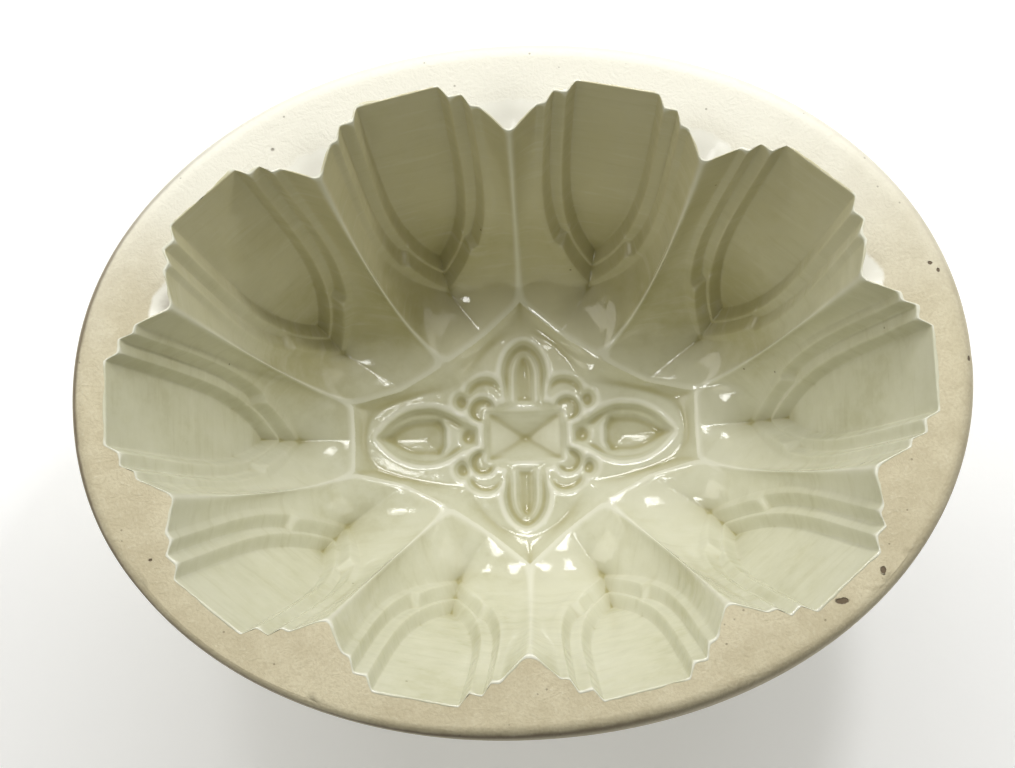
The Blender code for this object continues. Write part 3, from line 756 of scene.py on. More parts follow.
def finish_tree(tree, geometry, start, end):
    """Weld, shade smooth, realize and give the material at the end of a tree."""
    for kind, label, source in (("MergeByDistance", "Distance", "Weld Distance"), ("SetShadeSmooth", "", ""),
                                ("RealizeInstances", "", ""), ("SetMaterial", "Material", "Material")):
        node = tree.nodes.new("GeometryNode" + kind)
        tree.links.new(geometry, node.inputs["Geometry"])
        if label:
            tree.links.new(start.outputs[source], node.inputs[label])
        geometry = node.outputs["Geometry"]
    tree.links.new(geometry, end.inputs["Geometry"])


def mirror_tree():
    """Repeats a quarter of the hollow in all four quarters, then turns and places it."""
    name = "mirrored_hollow"
    if name in bpy.data.node_groups:
        return bpy.data.node_groups[name]
    tree, start, end = node_tree(name, (("Turn", "Float"), ("Offset", "Vector")))
    geometry = start.outputs["Geometry"]
    for scale in ((-1.0, 1.0, 1.0), (1.0, -1.0, 1.0)):
        mirror = tree.nodes.new("GeometryNodeTransform")
        mirror.inputs["Scale"].default_value = scale
        flip = tree.nodes.new("GeometryNodeFlipFaces")
        both = tree.nodes.new("GeometryNodeJoinGeometry")
        tree.links.new(geometry, mirror.inputs["Geometry"])
        tree.links.new(mirror.outputs["Geometry"], flip.inputs["Mesh"])
        tree.links.new(geometry, both.inputs["Geometry"])
        tree.links.new(flip.outputs["Mesh"], both.inputs["Geometry"])
        geometry = both.outputs["Geometry"]
    place = tree.nodes.new("GeometryNodeTransform")
    turn = tree.nodes.new("ShaderNodeCombineXYZ")
    tree.links.new(geometry, place.inputs["Geometry"])
    tree.links.new(start.outputs["Turn"], turn.inputs["Z"])
    tree.links.new(turn.outputs["Vector"], place.inputs["Rotation"])
    tree.links.new(start.outputs["Offset"], place.inputs["Translation"])
    finish_tree(tree, place.outputs["Geometry"], start, end)
    return tree


def oval_tree():
    """Lays a plain grid round the outer oval from each point's turn, inset, height and shrink."""
    name = "oval_wall"
    if name in bpy.data.node_groups:
        return bpy.data.node_groups[name]
    tree, start, end = node_tree(name, (("Length", "Float"), ("Width", "Float"), ("Squareness", "Float")))
    power = calculate(tree, "DIVIDE", 2.0, start.outputs["Squareness"])
    sides = []
    for label, way in (("Length", "COSINE"), ("Width", "SINE")):
        share = calculate(tree, way, stored(tree, "turn"))
        size = calculate(tree, "POWER", calculate(tree, "ABSOLUTE", share), power)
        half = calculate(tree, "MULTIPLY", start.outputs[label], 0.5)
        half = calculate(tree, "SUBTRACT", half, stored(tree, "inset"))
        half = calculate(tree, "MULTIPLY", half, stored(tree, "shrink"))
        side = calculate(tree, "MULTIPLY", calculate(tree, "SIGN", share), size)
        sides.append(calculate(tree, "MULTIPLY", side, half))
    place = tree.nodes.new("ShaderNodeCombineXYZ")
    for socket, value in zip(place.inputs, (*sides, stored(tree, "height"))):
        tree.links.new(value, socket)
    move = tree.nodes.new("GeometryNodeSetPosition")
    tree.links.new(start.outputs["Geometry"], move.inputs["Geometry"])
    tree.links.new(place.outputs["Vector"], move.inputs["Position"])
    finish_tree(tree, move.outputs["Geometry"], start, end)
    return tree


def run_tree(mesh, tree, values):
    """Run a tree on a mesh with its inputs set by name, and return the result as a plain mesh."""
    thing = bpy.data.objects.new(mesh.name, mesh)
    bpy.context.scene.collection.objects.link(thing)
    modifier = thing.modifiers.new(tree.name, "NODES")
    modifier.node_group = tree
    for item in tree.interface.items_tree:
        if item.item_type == "SOCKET" and item.in_out == "INPUT" and item.name in values:
            modifier[item.identifier] = values[item.name]
    graph = bpy.context.evaluated_depsgraph_get()
    baked = bpy.data.meshes.new_from_object(thing.evaluated_get(graph))
    thing.modifiers.remove(modifier)
    bpy.data.objects.remove(thing)
    if not baked.vertices:
        raise RuntimeError(f"{tree.name} made nothing")
    return baked


# Rosette and crown

def leaf(inner, widest, tip, half, back, point, round):
    """A leaf along +X, anticlockwise from its tip: widest part way, drawn in at both ends."""
    ahead = 1 - np.linspace(0.0, 1.0, LEAF_POINT_STEPS)[1:] ** 2
    upper = [(widest + (tip - widest) * share, half * (1 - share ** point) ** round) for share in ahead]
    for share in np.linspace(*LEAF_BUTT_PLACES):
        width = half * max(LEAF_BUTT_SHARE, 1 - share ** back)
        upper.append((widest + (inner - widest) * share, width))
    lower = [(x, -y) for x, y in reversed(upper)]
    return np.array([(tip, 0.0)] + upper + lower)


def bowed(half, bow, steps=14):
    """A rectangle whose sides bow outwards, anticlockwise."""
    corners = np.array(((1, -1), (1, 1), (-1, 1), (-1, -1)), float)
    outline = []
    for here, after in zip(corners, np.roll(corners, -1, axis=0)):
        for share in np.arange(steps) / steps:
            swell = 2 * share * (1 - share) * np.array(bow) * (here + after)
            outline.append(np.array(half) * (here + (after - here) * share) + swell)
    return np.array(outline)


def inside_by(outline, x, y):
    """How far points lie inside an outline; below zero outside it."""
    nearest = np.full(x.shape, np.inf)
    crossings = np.zeros(x.shape, int)
    for start, end in zip(outline, np.roll(outline, -1, axis=0)):
        run = end - start
        share = ((x - start[0]) * run[0] + (y - start[1]) * run[1]) / (run @ run)
        share = np.clip(share, 0.0, 1.0)
        away = (x - start[0] - share * run[0]) ** 2 + (y - start[1] - share * run[1]) ** 2
        nearest = np.minimum(nearest, away)
        if start[1] != end[1]:
            between = (start[1] > y) != (end[1] > y)
            crossings += between & (start[0] + run[0] * (y - start[1]) / run[1] > x)
    return np.where(crossings % 2 == 1, 1.0, -1.0) * np.sqrt(nearest)


def sloped(inside, edge, bottom, side):
    """Depth inside an outline: down from its edge to its bottom over the width of its side."""
    share = np.clip(inside / side, 0.0, 1.0)
    return np.where(inside > 0.0, edge + (bottom - edge) * share, 0.0)


def rosette_depth(x, y, turn):
    """How far the rosette lies below the crown's floor."""
    x, y = x * math.cos(turn) + y * math.sin(turn), y * math.cos(turn) - x * math.sin(turn)
    depth = np.zeros(x.shape)
    for part in (FOIL, KNOB, CUSP, NECK):
        for way in ((1, 1), (-1, 1), (-1, -1), (1, -1)):
            away = np.hypot(x - way[0] * part["at"][0], y - way[1] * part["at"][1])
            depth = np.maximum(depth, sloped(part["radius"] - away, 0.0, part["sink"], part["side"]))
    long_leaf, cross_leaf = (LONG_LEAF, LONG_VEIN, LONG_VEIN_SINK), (CROSS_LEAF, CROSS_VEIN, CROSS_VEIN_SINK)
    for turned, (blade, vein, sink) in (((x, y), long_leaf), ((y, -x), cross_leaf),
                                        ((-x, -y), long_leaf), ((-y, x), cross_leaf)):
        depth = np.maximum(depth, sloped(inside_by(leaf(**blade), *turned), 0.0, LEAF_SINK, LEAF_SIDE))
        inside = inside_by(leaf(**vein), *turned)
        wall = LEAF_SINK + VEIN_SIDE_SHARE * (sink - LEAF_SINK)
        steep = sloped(inside, LEAF_SINK, wall, VEIN_SIDE)
        depth = np.maximum(depth, steep + np.maximum(inside, 0.0) / vein["half"] * (sink - wall))
    inside = inside_by(bowed(JEWEL_FRAME["half"], JEWEL_FRAME["bow"]), x, y)
    share = np.clip(inside / JEWEL_FRAME["side"], 0.0, 1.0)
    depth = np.where(inside > 0.0, depth + (JEWEL_FRAME["sink"] - depth) * share, depth)
    away = np.maximum(np.abs(x) / JEWEL["half"][0], np.abs(y) / JEWEL["half"][1])
    within = np.minimum(JEWEL["half"][0] - np.abs(x), JEWEL["half"][1] - np.abs(y))
    start = JEWEL_FRAME["sink"]
    step = JEWEL["step"] * np.clip(within / JEWEL["side"], 0.0, 1.0)
    jewel = start + step + (JEWEL["sink"] - start - JEWEL["step"]) * (1 - away)
    return np.where(away < 1.0, np.maximum(depth, jewel), depth)


def slid(field, reach, axis):
    """The map moved by each step within a reach along an axis, with its edges repeated."""
    padded = np.pad(field, [(reach, reach) if here == axis else (0, 0) for here in (0, 1)], mode="edge")
    for step in range(2 * reach + 1):
        cut = [slice(None), slice(None)]
        cut[axis] = slice(step, step + field.shape[axis])
        yield padded[tuple(cut)]


def blurred(field, radius):
    """A map of heights blurred over a radius."""
    reach = max(1, int(3 * radius / MAP_STEP))
    steps = np.arange(-reach, reach + 1) * MAP_STEP
    kernel = np.exp(-(steps / max(radius, 1e-9)) ** 2 / 2)
    kernel /= kernel.sum()
    for axis in (0, 1):
        total = np.zeros_like(field)
        for share, moved in zip(kernel, slid(field, reach, axis)):
            total += share * moved
        field = total
    return field


def spread_down(field, radius):
    """The deepest value of a map within a square reach of each place."""
    reach = int(math.ceil(radius / MAP_STEP))
    for axis in (0, 1):
        best = field.copy()
        for moved in slid(field, reach, axis):
            best = np.maximum(best, moved)
        field = best
    return field


def crown_map(ring, sizes, softness, coarse):
    """A map of depths below the rim over the crown, inside a ring laid out about the hollow's middle."""
    across = np.arange(-MAP_HALF[0], MAP_HALF[0] + MAP_STEP / 2, MAP_STEP)
    along = np.arange(-MAP_HALF[1], MAP_HALF[1] + MAP_STEP / 2, MAP_STEP)
    x, y = np.meshgrid(across, along, indexing="ij")
    bearing = np.degrees(np.arctan2(y, x))
    order = np.argsort(np.arctan2(ring[:, 1], ring[:, 0]))
    turns = np.degrees(np.arctan2(ring[order, 1], ring[order, 0]))
    edge = np.interp(bearing, turns, np.hypot(ring[order, 0], ring[order, 1]), period=360)
    level = np.interp(bearing, turns, sizes.height - ring[order, 2], period=360)
    reach = np.maximum(oval_reach(bearing, *LONG_OVAL), oval_reach(bearing, *CROSS_OVAL))
    away = np.hypot(x, y)
    start = CROWN_EASE * reach
    climb = np.clip((away - start) / (edge - start), 0.0, CROWN_CLIMB_LIMIT)
    depth = FLOOR_DEPTH + (level - FLOOR_DEPTH) * climb ** CROWN_EASE_POWER
    depth += np.where(away > reach, 0.0, rosette_depth(x, y, sizes.rosette_turn))
    if coarse:
        return spread_down(depth, COARSE_CROWN_REACH)
    return blurred(depth, softness.rosette)


def look_up(field, places):
    """Values of a map at places, between its own points."""
    column = np.clip((places[:, 0] + MAP_HALF[0]) / MAP_STEP, 0, field.shape[0] - MAP_EDGE)
    row = np.clip((places[:, 1] + MAP_HALF[1]) / MAP_STEP, 0, field.shape[1] - MAP_EDGE)
    left, low = column.astype(int), row.astype(int)
    right, up = column - left, row - low
    return (field[left, low] * (1 - right) * (1 - up) + field[left + 1, low] * right * (1 - up)
            + field[left, low + 1] * (1 - right) * up + field[left + 1, low + 1] * right * up)


def hex_places(half_x, half_y, step):
    """Points in even staggered rows."""
    rise = step * math.sqrt(3) / 2
    rows = np.arange(-int(half_y / rise), int(half_y / rise) + 1)
    columns = np.arange(-int(half_x / step) - 1, int(half_x / step) + 2)
    x, row = np.meshgrid(columns * step, rows, indexing="ij")
    return np.column_stack(((x + (row % 2) * step / 2).ravel(), (row * rise).ravel()))


def ordered_loop(bm, low, high, members=None):
    """Border points between two heights, in order round the loop."""
    neighbours = {}
    for part in bm.edges:
        first, second = part.verts
        if not part.is_boundary or not low < first.co.z < high or not low < second.co.z < high:
            continue
        if members is None or first in members:
            neighbours.setdefault(first, []).append(second)
            neighbours.setdefault(second, []).append(first)
    if not neighbours or any(len(found) != 2 for found in neighbours.values()):
        raise RuntimeError(f"The border between heights {low:.4f} and {high:.4f} isn't one loop")
    start = max(neighbours, key=lambda vert: vert.co.x)
    loop = [start, neighbours[start][0]]
    while True:
        before, here = loop[-2:]
        after = [vert for vert in neighbours[here] if vert is not before][0]
        if after is start:
            break
        loop.append(after)
    if len(loop) != len(neighbours):
        raise RuntimeError("The border falls into more than one loop")
    area = sum(a.co.x * b.co.y - b.co.x * a.co.y for a, b in zip(loop, loop[1:] + loop[:1]))
    return loop if area > 0 else loop[::-1]


def to_hollow(places, sizes):
    """Row-frame points as the hollow's own, before its turn and offset."""
    moved = np.array(places, float)
    moved[:, :2] -= np.array(sizes.hollow_offset)
    cosine, sine = math.cos(sizes.hollow_turn), math.sin(sizes.hollow_turn)
    moved[:, :2] = moved[:, :2] @ np.array(((cosine, -sine), (sine, cosine)))
    return moved


def from_hollow(places, sizes):
    """The hollow's own points turned and moved into the row frame."""
    moved = np.array(places, float)
    cosine, sine = math.cos(sizes.hollow_turn), math.sin(sizes.hollow_turn)
    moved[:, :2] = moved[:, :2] @ np.array(((cosine, sine), (-sine, cosine)))
    moved[:, :2] += np.array(sizes.hollow_offset)
    return moved


def fill_between(bm, loops, fillers, height_of):
    """Triangles inside the first loop and outside the others, through the filler points."""
    points, lines, known = [], [], []
    for loop in loops:
        first = len(points)
        points += [Vector((vert.co.x, vert.co.y)) for vert in loop]
        known += loop
        lines += [(first + here, first + (here + 1) % len(loop)) for here in range(len(loop))]
    points += [Vector(place) for place in fillers]
    inside_lines = 1
    found = delaunay_2d_cdt(points, lines, [], inside_lines, TRIANGLE_WELD)
    places, triangles, sources = found[0], found[2], found[3]
    flat = np.array([tuple(place) for place in places])
    middles = np.array([flat[list(corners)].mean(axis=0) for corners in triangles])
    kept = np.ones(len(triangles), bool)
    for number, loop in enumerate(loops):
        inside = inside_by(np.array([vert.co[:2] for vert in loop]), middles[:, 0], middles[:, 1])
        kept &= (inside > 0.0) == (number == 0)
    heights = height_of(flat)
    made, fresh = [], []
    for place, height, source in zip(places, heights, sources):
        on_loop = [index for index in source if index < len(known)]
        if on_loop:
            made.append(known[on_loop[0]])
        else:
            made.append(bm.verts.new((place.x, place.y, height)))
            fresh.append(made[-1])
    for corners, keep in zip(triangles, kept):
        if keep:
            bm.faces.new([made[index] for index in corners])
    return fresh


def fill_crown(bm, sizes, softness, coarse):
    """Close the bottom of the hollow with the crown and its rosette."""
    loop = ordered_loop(bm, 0.0, sizes.height - RIDGE_DEPTH + CROWN_LOOP_MARGIN)
    ring = to_hollow([vert.co for vert in loop], sizes)
    field = crown_map(ring, sizes, softness, coarse)
    step = COARSE_CROWN_GRID if coarse else CROWN_GRID
    places = hex_places(*MAP_HALF, step)
    places = places[inside_by(ring[:, :2], places[:, 0], places[:, 1]) > CROWN_CLEARANCE * step]
    whole = from_hollow(np.column_stack((places, np.zeros(len(places)))), sizes)

    def height_of(flat):
        own = to_hollow(np.column_stack((flat, np.zeros(len(flat)))), sizes)
        return sizes.height - look_up(field, own)

    soft = bm.verts.layers.float.get("soft")
    for vert in fill_between(bm, [loop], whole[:, :2], height_of):
        own = to_hollow([vert.co], sizes)[0, :2]
        near = np.min(np.hypot(*(ring[:, :2] - own).T))
        vert[soft] = math.exp(-(near / CROWN_SOFT_REACH) ** 2)


def worn_tip(bearing, sizes):
    """Where the rim comes to a point between two flutes, about the hollow's middle."""
    mirrored = min(abs(bearing % 180), 180 - bearing % 180)
    ridge = min(RIDGES.values(), key=lambda one: abs(one["bearing"] - mirrored))
    return polar(bearing, np.hypot(*rim_point(ridge, sizes)))


def worn(places, sizes):
    """Points of the rim between the flutes sink a little, as pressed and wiped clay does."""
    moved = np.array(places, float)
    own = to_hollow(moved, sizes)
    top = (own[:, 2] - (sizes.height - WORN_REACH_DOWN)) / WORN_REACH_DOWN
    top = np.clip(top, 0.0, 1.0) ** WORN_POWER
    for bearing, sink, width in WORN_POINTS:
        tip = worn_tip(bearing, sizes)
        away = np.hypot(own[:, 0] - tip[0], own[:, 1] - tip[1]) / width
        moved[:, 2] -= sink * np.exp(-away ** 2) * top
    return moved


def sheet_of_hollow(sizes, softness, coarse):
    """The hollow's surface in the row frame: flutes repeated by nodes, then the crown."""
    values = {"Weld Distance": WELD, "Turn": sizes.hollow_turn,
              "Offset": (sizes.hollow_offset[0], sizes.hollow_offset[1], 0.0)}
    baked = run_tree(quarter_mesh(sizes, softness, coarse), mirror_tree(), values)
    bm = bmesh.new()
    bm.from_mesh(baked)
    bpy.data.meshes.remove(baked)
    fill_crown(bm, sizes, softness, coarse)
    bmesh.ops.recalc_face_normals(bm, faces=bm.faces)
    lowest = min(bm.faces, key=lambda face: face.calc_center_median().z)
    if lowest.normal.z < 0:
        bmesh.ops.reverse_faces(bm, faces=bm.faces)
    bm.verts.index_update()
    return bm


def places_of(bm):
    """Every point of a bmesh as an array."""
    return np.array([vert.co[:] for vert in bm.verts])


def set_places(bm, places):
    """Move every point of a bmesh."""
    for vert, place in zip(bm.verts, places):
        vert.co = place


def edge_pairs(bm):
    """Both ends of every edge, by index."""
    bm.verts.index_update()
    return np.array([(part.verts[0].index, part.verts[1].index) for part in bm.edges])


def neighbour_mean(values, pairs):
    """The mean of each point's neighbours."""
    total = np.zeros_like(values)
    np.add.at(total, pairs[:, 0], values[pairs[:, 1]])
    np.add.at(total, pairs[:, 1], values[pairs[:, 0]])
    count = np.bincount(pairs.ravel(), minlength=len(values)).clip(1)
    return total / (count[:, None] if values.ndim == 2 else count)


def soften(bm, rounds):
    """Round ridges, valleys and the crown's edge, as far as each point's softness lets them."""
    layer = bm.verts.layers.float.get("soft")
    soft = np.array([vert[layer] for vert in bm.verts])[:, None]
    places, pairs = places_of(bm), edge_pairs(bm)
    for _ in range(rounds):
        places += SOFTEN_SHARE * soft * (neighbour_mean(places, pairs) - places)
    set_places(bm, places)


def wavy_edge(bm):
    """Let the glaze's edge wander on the rim."""
    layer = bm.verts.layers.float.get("roll")
    for vert in bm.verts:
        if vert[layer] > 0.0:
            spot = Vector((vert.co.x, vert.co.y, 0.0))
            wander = sum(size * noise.noise(spot * scale + Vector(shift))
                         for size, scale, shift in EDGE_WANDER)
            vert.co += vert[layer] * wander * spot.normalized()


def bend_of(bm):
    """How hollow (above zero) or sharp (below zero) the surface is at each point, and its edges."""
    places, pairs = places_of(bm), edge_pairs(bm)
    bm.normal_update()
    normals = np.array([vert.normal[:] for vert in bm.verts])
    lengths = ((places[pairs[:, 0]] - places[pairs[:, 1]]) ** 2).sum(axis=1)
    count = np.bincount(pairs.ravel(), minlength=len(places)).clip(1)
    first, second = (np.bincount(pairs[:, end], lengths, len(places)) for end in (0, 1))
    square = (first + second) / count
    bend = ((neighbour_mean(places, pairs) - places) * normals).sum(axis=1) / square.clip(1e-9)
    return np.clip(bend, -BEND_LIMIT, BEND_LIMIT), pairs


def settle_values(values, pairs, rounds):
    """Values evened out over neighbouring points."""
    for _ in range(rounds):
        values = (1 - SETTLE_SHARE) * values + SETTLE_SHARE * neighbour_mean(values, pairs)
    return values


# Pieces

def piece_from(bm, name, material):
    """A finished piece at the origin, smooth and with one material, with its place in its mesh."""
    mesh = bpy.data.meshes.new(name)
    bm.to_mesh(mesh)
    bm.free()
    mesh.materials.clear()
    mesh.materials.append(material)
    mesh.polygons.foreach_set("material_index", np.zeros(len(mesh.polygons), np.int32))
    mesh.polygons.foreach_set("use_smooth", np.ones(len(mesh.polygons), bool))
    thing = bpy.data.objects.new(name, mesh)
    bpy.context.scene.collection.objects.link(thing)
    return thing


def hand_over(thing, node):
    """Let a piece stand for its CAD node."""
    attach(thing, "root")
    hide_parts(node)


def wall_profile(sizes, buried):
    """Insets and heights down the outer wall to the foot, on the glaze or buried under it."""
    top = sizes.height - GLAZE_LINE_DROP
    profile = [Vector((0.0, top))]
    for share in np.arange(1, TAPER_STEPS + 1) / TAPER_STEPS:
        profile.append(Vector((share * TAPER_RUN, top + share * (SHOULDER_TOP - top))))
    for step in range(1, SHOULDER_STEPS + 1):
        turn = math.pi / 2 * step / SHOULDER_STEPS
        inset = TAPER_RUN + SHOULDER_RUN * (1 - math.cos(turn))
        profile.append(Vector((inset, SHOULDER_TOP - (SHOULDER_TOP - FOOT_HEIGHT) * math.sin(turn))))
    profile.append(Vector((profile[-1].x, FOOT_DRY_BAND)))
    moved = []
    for before, here, after in zip(profile[:1] + profile[:-1], profile, profile[1:] + profile[-1:]):
        first = (here - before).normalized() if here != before else (after - here).normalized()
        second = (after - here).normalized() if after != here else first
        way = Vector((-first.y - second.y, first.x + second.x)).normalized()
        moved.append(here + way * buried / way.dot(Vector((-first.y, first.x))))
    return moved


def oval_grid(profile, name, closed, ripple=None):
    """A plain grid whose points keep their turn, inset, height and shrink for the oval tree."""
    turns, insets, heights, shrinks, faces = [], [], [], [], []
    for row, (inset, height, shrink) in enumerate(profile):
        for step in range(WALL_STEPS):
            turn = 2 * math.pi * step / WALL_STEPS
            rise, spread = ripple(row, turn) if ripple else (0.0, 0.0)
            turns.append(turn)
            insets.append(inset + spread)
            heights.append(height + rise)
            shrinks.append(shrink)
    rows = len(profile)
    for row in range(rows if closed else rows - 1):
        below = (row + 1) % rows
        for step in range(WALL_STEPS):
            after = (step + 1) % WALL_STEPS
            faces.append((row * WALL_STEPS + step, below * WALL_STEPS + step,
                          below * WALL_STEPS + after, row * WALL_STEPS + after))
    mesh = bpy.data.meshes.new(name)
    mesh.from_pydata([(0.001 * here, 0.0, 0.0) for here in range(len(turns))], [], faces)
    for label, values in (("turn", turns), ("inset", insets), ("height", heights), ("shrink", shrinks)):
        add_values(mesh, label, values)
    return mesh


def run_oval(mesh, sizes, material):
    """The grid laid round the outer oval."""
    values = {"Weld Distance": WELD, "Length": sizes.length, "Width": sizes.width,
              "Squareness": sizes.squareness, "Material": material}
    return run_tree(mesh, oval_tree(), values)


def circle_noise(turn, scale, shift):
    """A value that wanders round the oval and meets itself."""
    return noise.noise(Vector((scale * math.cos(turn), scale * math.sin(turn), shift)))


def clay_profile(sizes):
    """Inset, height and shrink of the clay from the rim over the lip, wall and foot to the base."""
    top = sizes.height - RIM_SET_DOWN
    rows = []
    for step in range(LIP_STEPS + 1):
        turn = math.pi / 2 * step / LIP_STEPS
        rows.append((LIP_RUN * (1 - math.sin(turn)), top - LIP_DROP * (1 - math.cos(turn))))
    rows.append((CLAY_UNDER_COAT, sizes.height - GLAZE_LINE_DROP + CLAY_ABOVE_LINE))
    profile = wall_profile(sizes, GAP)
    rows += [(place.x, place.y) for place in profile[1:-1]]
    outside, inside = profile[-1].x, profile[-1].x + GLAZE + FOOT_WIDTH
    turns = [math.pi / 2 * step / FOOT_ROUND_STEPS for step in range(FOOT_ROUND_STEPS + 1)]
    rows += [(outside + FOOT_ROUNDING * (1 - math.cos(turn)), FOOT_ROUNDING * (1 - math.sin(turn)))
             for turn in turns]
    rows.append(((outside + inside) / 2, 0.0))
    rows += [(inside - FOOT_ROUNDING * (1 - math.sin(turn)), FOOT_ROUNDING * (1 - math.cos(turn)))
             for turn in turns]
    deep = inside + RECESS_DRAFT
    rows.append((deep, RECESS_DEPTH))
    return [(*row, 1.0) for row in rows] + [(deep, RECESS_DEPTH, shrink) for shrink in RECESS_SHRINKS]


def rim_loop(bm, below, sizes, members=None):
    """The border near the rim's plane, in order."""
    return ordered_loop(bm, sizes.height - below, sizes.height + RIM_LOOP_ABOVE, members)


def lip_ripple(profile):
    """How the lip is worn flatter in places and dented, as rise and spread by row and turn."""
    def ripple(row, turn):
        if row > LIP_STEPS:
            return 0.0, 0.0
        flat = 0.0
        for middle, spread, share in FLAT_LIPS:
            flat += share * math.exp(-((math.degrees(turn) - middle) / spread) ** 2)
        dent = LIP_DENT * (1 + circle_noise(turn, *LIP_DENT_WAVE)) * (row > 0)
        rise = flat * (profile[0][1] - profile[row][1]) * (row < LIP_STEPS)
        return rise, dent - flat * profile[row][0]
    return ripple


def fill_rim(bm, outer_loop, inner_loop, sizes):
    """Close the flat rim between the lip and the hollow."""
    outer, own = (np.array([vert.co[:2] for vert in loop]) for loop in (outer_loop, inner_loop))
    fillers = hex_places(sizes.length / 2, sizes.width / 2, RIM_GRID)
    x, y = fillers[:, 0], fillers[:, 1]
    clear = RIM_CLEARANCE * RIM_GRID
    keep = (inside_by(outer, x, y) > clear) & (inside_by(own, x, y) < -clear)
    level = sizes.height - RIM_SET_DOWN
    fill_between(bm, [outer_loop, inner_loop], fillers[keep], lambda flat: np.full(len(flat), level))


class JELLYMOULD_OT_clay_body(bpy.types.Operator):
    """Fired clay: the dry rim, the rounded lip, the wall under its glaze and the foot ring"""
    bl_idname = "jelly_mould.clay_body"
    bl_label = "Clay Body"

    def execute(self, context):
        sizes, softness = context.scene.mould_sizes, context.scene.mould_softness
        material = clay_material(context.scene.mould_finish)
        profile = clay_profile(sizes)
        shell = run_oval(oval_grid(profile, "clay_shell", False, lip_ripple(profile)), sizes, material)
        hollow = sheet_of_hollow(sizes, softness, True)
        press_back(hollow, GLAZE + GAP, sizes)
        bmesh.ops.reverse_faces(hollow, faces=hollow.faces)
        inner = bpy.data.meshes.new("clay_hollow")
        hollow.to_mesh(inner)
        hollow.free()
        bm = bmesh.new()
        bm.from_mesh(shell)
        count = len(bm.verts)
        bm.from_mesh(inner)
        bm.verts.ensure_lookup_table()
        outer_loop = rim_loop(bm, CLAY_LOOP_BELOW, sizes, set(bm.verts[:count]))
        inner_loop = rim_loop(bm, CLAY_LOOP_BELOW, sizes, set(bm.verts[count:]))
        fill_rim(bm, outer_loop, inner_loop, sizes)
        bmesh.ops.recalc_face_normals(bm, faces=bm.faces)
        set_places(bm, worn(places_of(bm), sizes))
        marks = flooded(places_of(bm), sizes)
        layer = bm.verts.layers.float.new("glazed")
        for vert, mark in zip(bm.verts, marks):
            vert[layer] = mark
        thing = piece_from(bm, "clay_body", material)
        thing.data.set_sharp_from_angle(angle=math.radians(CLAY_SHARP))
        hand_over(thing, "mould_body")
        return {"FINISHED"}


def shell_shifts(bm, depth):
    """How far each point moves when a sheet is set back evenly by a depth."""
    bm.normal_update()
    return [(vert, vert.normal * -depth * min(SHELL_LIMIT, vert.calc_shell_factor())) for vert in bm.verts]


def press_back(bm, depth, sizes):
    """Push the hollow's sheet back into the clay, and keep its top edge in the rim's plane."""
    layer = bm.verts.layers.float.get("roll")
    outermost = [vert for vert in bm.verts if vert[layer] > 0.0]
    bmesh.ops.delete(bm, geom=outermost, context="VERTS")
    border = set(rim_loop(bm, SHEET_LOOP_BELOW, sizes))
    for vert, shift in shell_shifts(bm, depth):
        if vert in border:
            vert.co += Vector((shift.x, shift.y, 0.0)).normalized() * CLAY_INSIDE_ROLL
            vert.co.z = sizes.height - RIM_SET_DOWN
        else:
            vert.co += shift


def flooded(places, sizes):
    """How far the glaze has flooded over the rim's points on the far side."""
    own = to_hollow(places, sizes)
    mark = np.zeros(len(own))
    for bearing, sink, width in WORN_POINTS:
        if sink < FLOOD_LEAST_SINK:
            continue
        around = polar(bearing, 1.0)
        away = own[:, :2] - worn_tip(bearing, sizes)
        out = away @ around / (FLOOD_REACH * width)
        aside = (away @ np.array([-around[1], around[0]])) / (FLOOD_SPREAD * width)
        mark = np.maximum(mark, np.exp(-out ** 2 - aside ** 2))
    return mark


class JELLYMOULD_OT_hollow_glaze(bpy.types.Operator):
    """Glossy lining of the hollow: ten flutes and the leaf rosette, rolled over the rim's edge"""
    bl_idname = "jelly_mould.hollow_glaze"
    bl_label = "Hollow Glaze"

    def execute(self, context):
        sizes, softness = context.scene.mould_sizes, context.scene.mould_softness
        front = sheet_of_hollow(sizes, softness, False)
        for name in ("pooled", "hollowed"):
            front.verts.layers.float.new(name)
        soften(front, softness.ridges)
        # The surface's bends drive pooled glaze with painted shade in hollows and creases, and thin glaze
        # with painted highlight on edges
        bend, pairs = bend_of(front)
        pooled = settle_values(bend, pairs, POOLED_ROUNDS)
        hollowed = settle_values(pooled, pairs, HOLLOWED_ROUNDS)
        back = sheet_of_hollow(sizes, softness, True)
        back_loop = rim_loop(back, GLAZE_LOOP_BELOW, sizes)
        front_loop = rim_loop(front, GLAZE_LOOP_BELOW, sizes)
        matches = match_loops(front_loop, back_loop)
        for vert, shift in shell_shifts(back, GLAZE):
            vert.co += shift
        bmesh.ops.reverse_faces(back, faces=back.faces)
        wavy_edge(front)
        near_layer, far_layer = (front.verts.layers.float[name] for name in ("pooled", "hollowed"))
        for vert, near, far in zip(front.verts, pooled, hollowed):
            vert[near_layer], vert[far_layer] = near / POOLED_BEND, far / HOLLOWED_BEND
        join_back(front, front_loop, back, back_loop, matches)
        set_places(front, worn(places_of(front), sizes))
        thing = piece_from(front, "hollow_lining", hollow_glaze_material(context.scene.mould_finish))
        hand_over(thing, "cavity_glaze")
        return {"FINISHED"}


def match_loops(fine, coarse):
    """For each point of the coarse loop, the index of the point of the fine loop it stands on."""
    fine_places = np.array([vert.co[:] for vert in fine])
    matches = []
    for vert in coarse:
        away = np.linalg.norm(fine_places - np.array(vert.co[:]), axis=1)
        if away.min() > JOIN_LIMIT:
            raise RuntimeError(f"The back of the glaze misses its front by {away.min():.6f} m")
        matches.append(int(away.argmin()))
    return matches


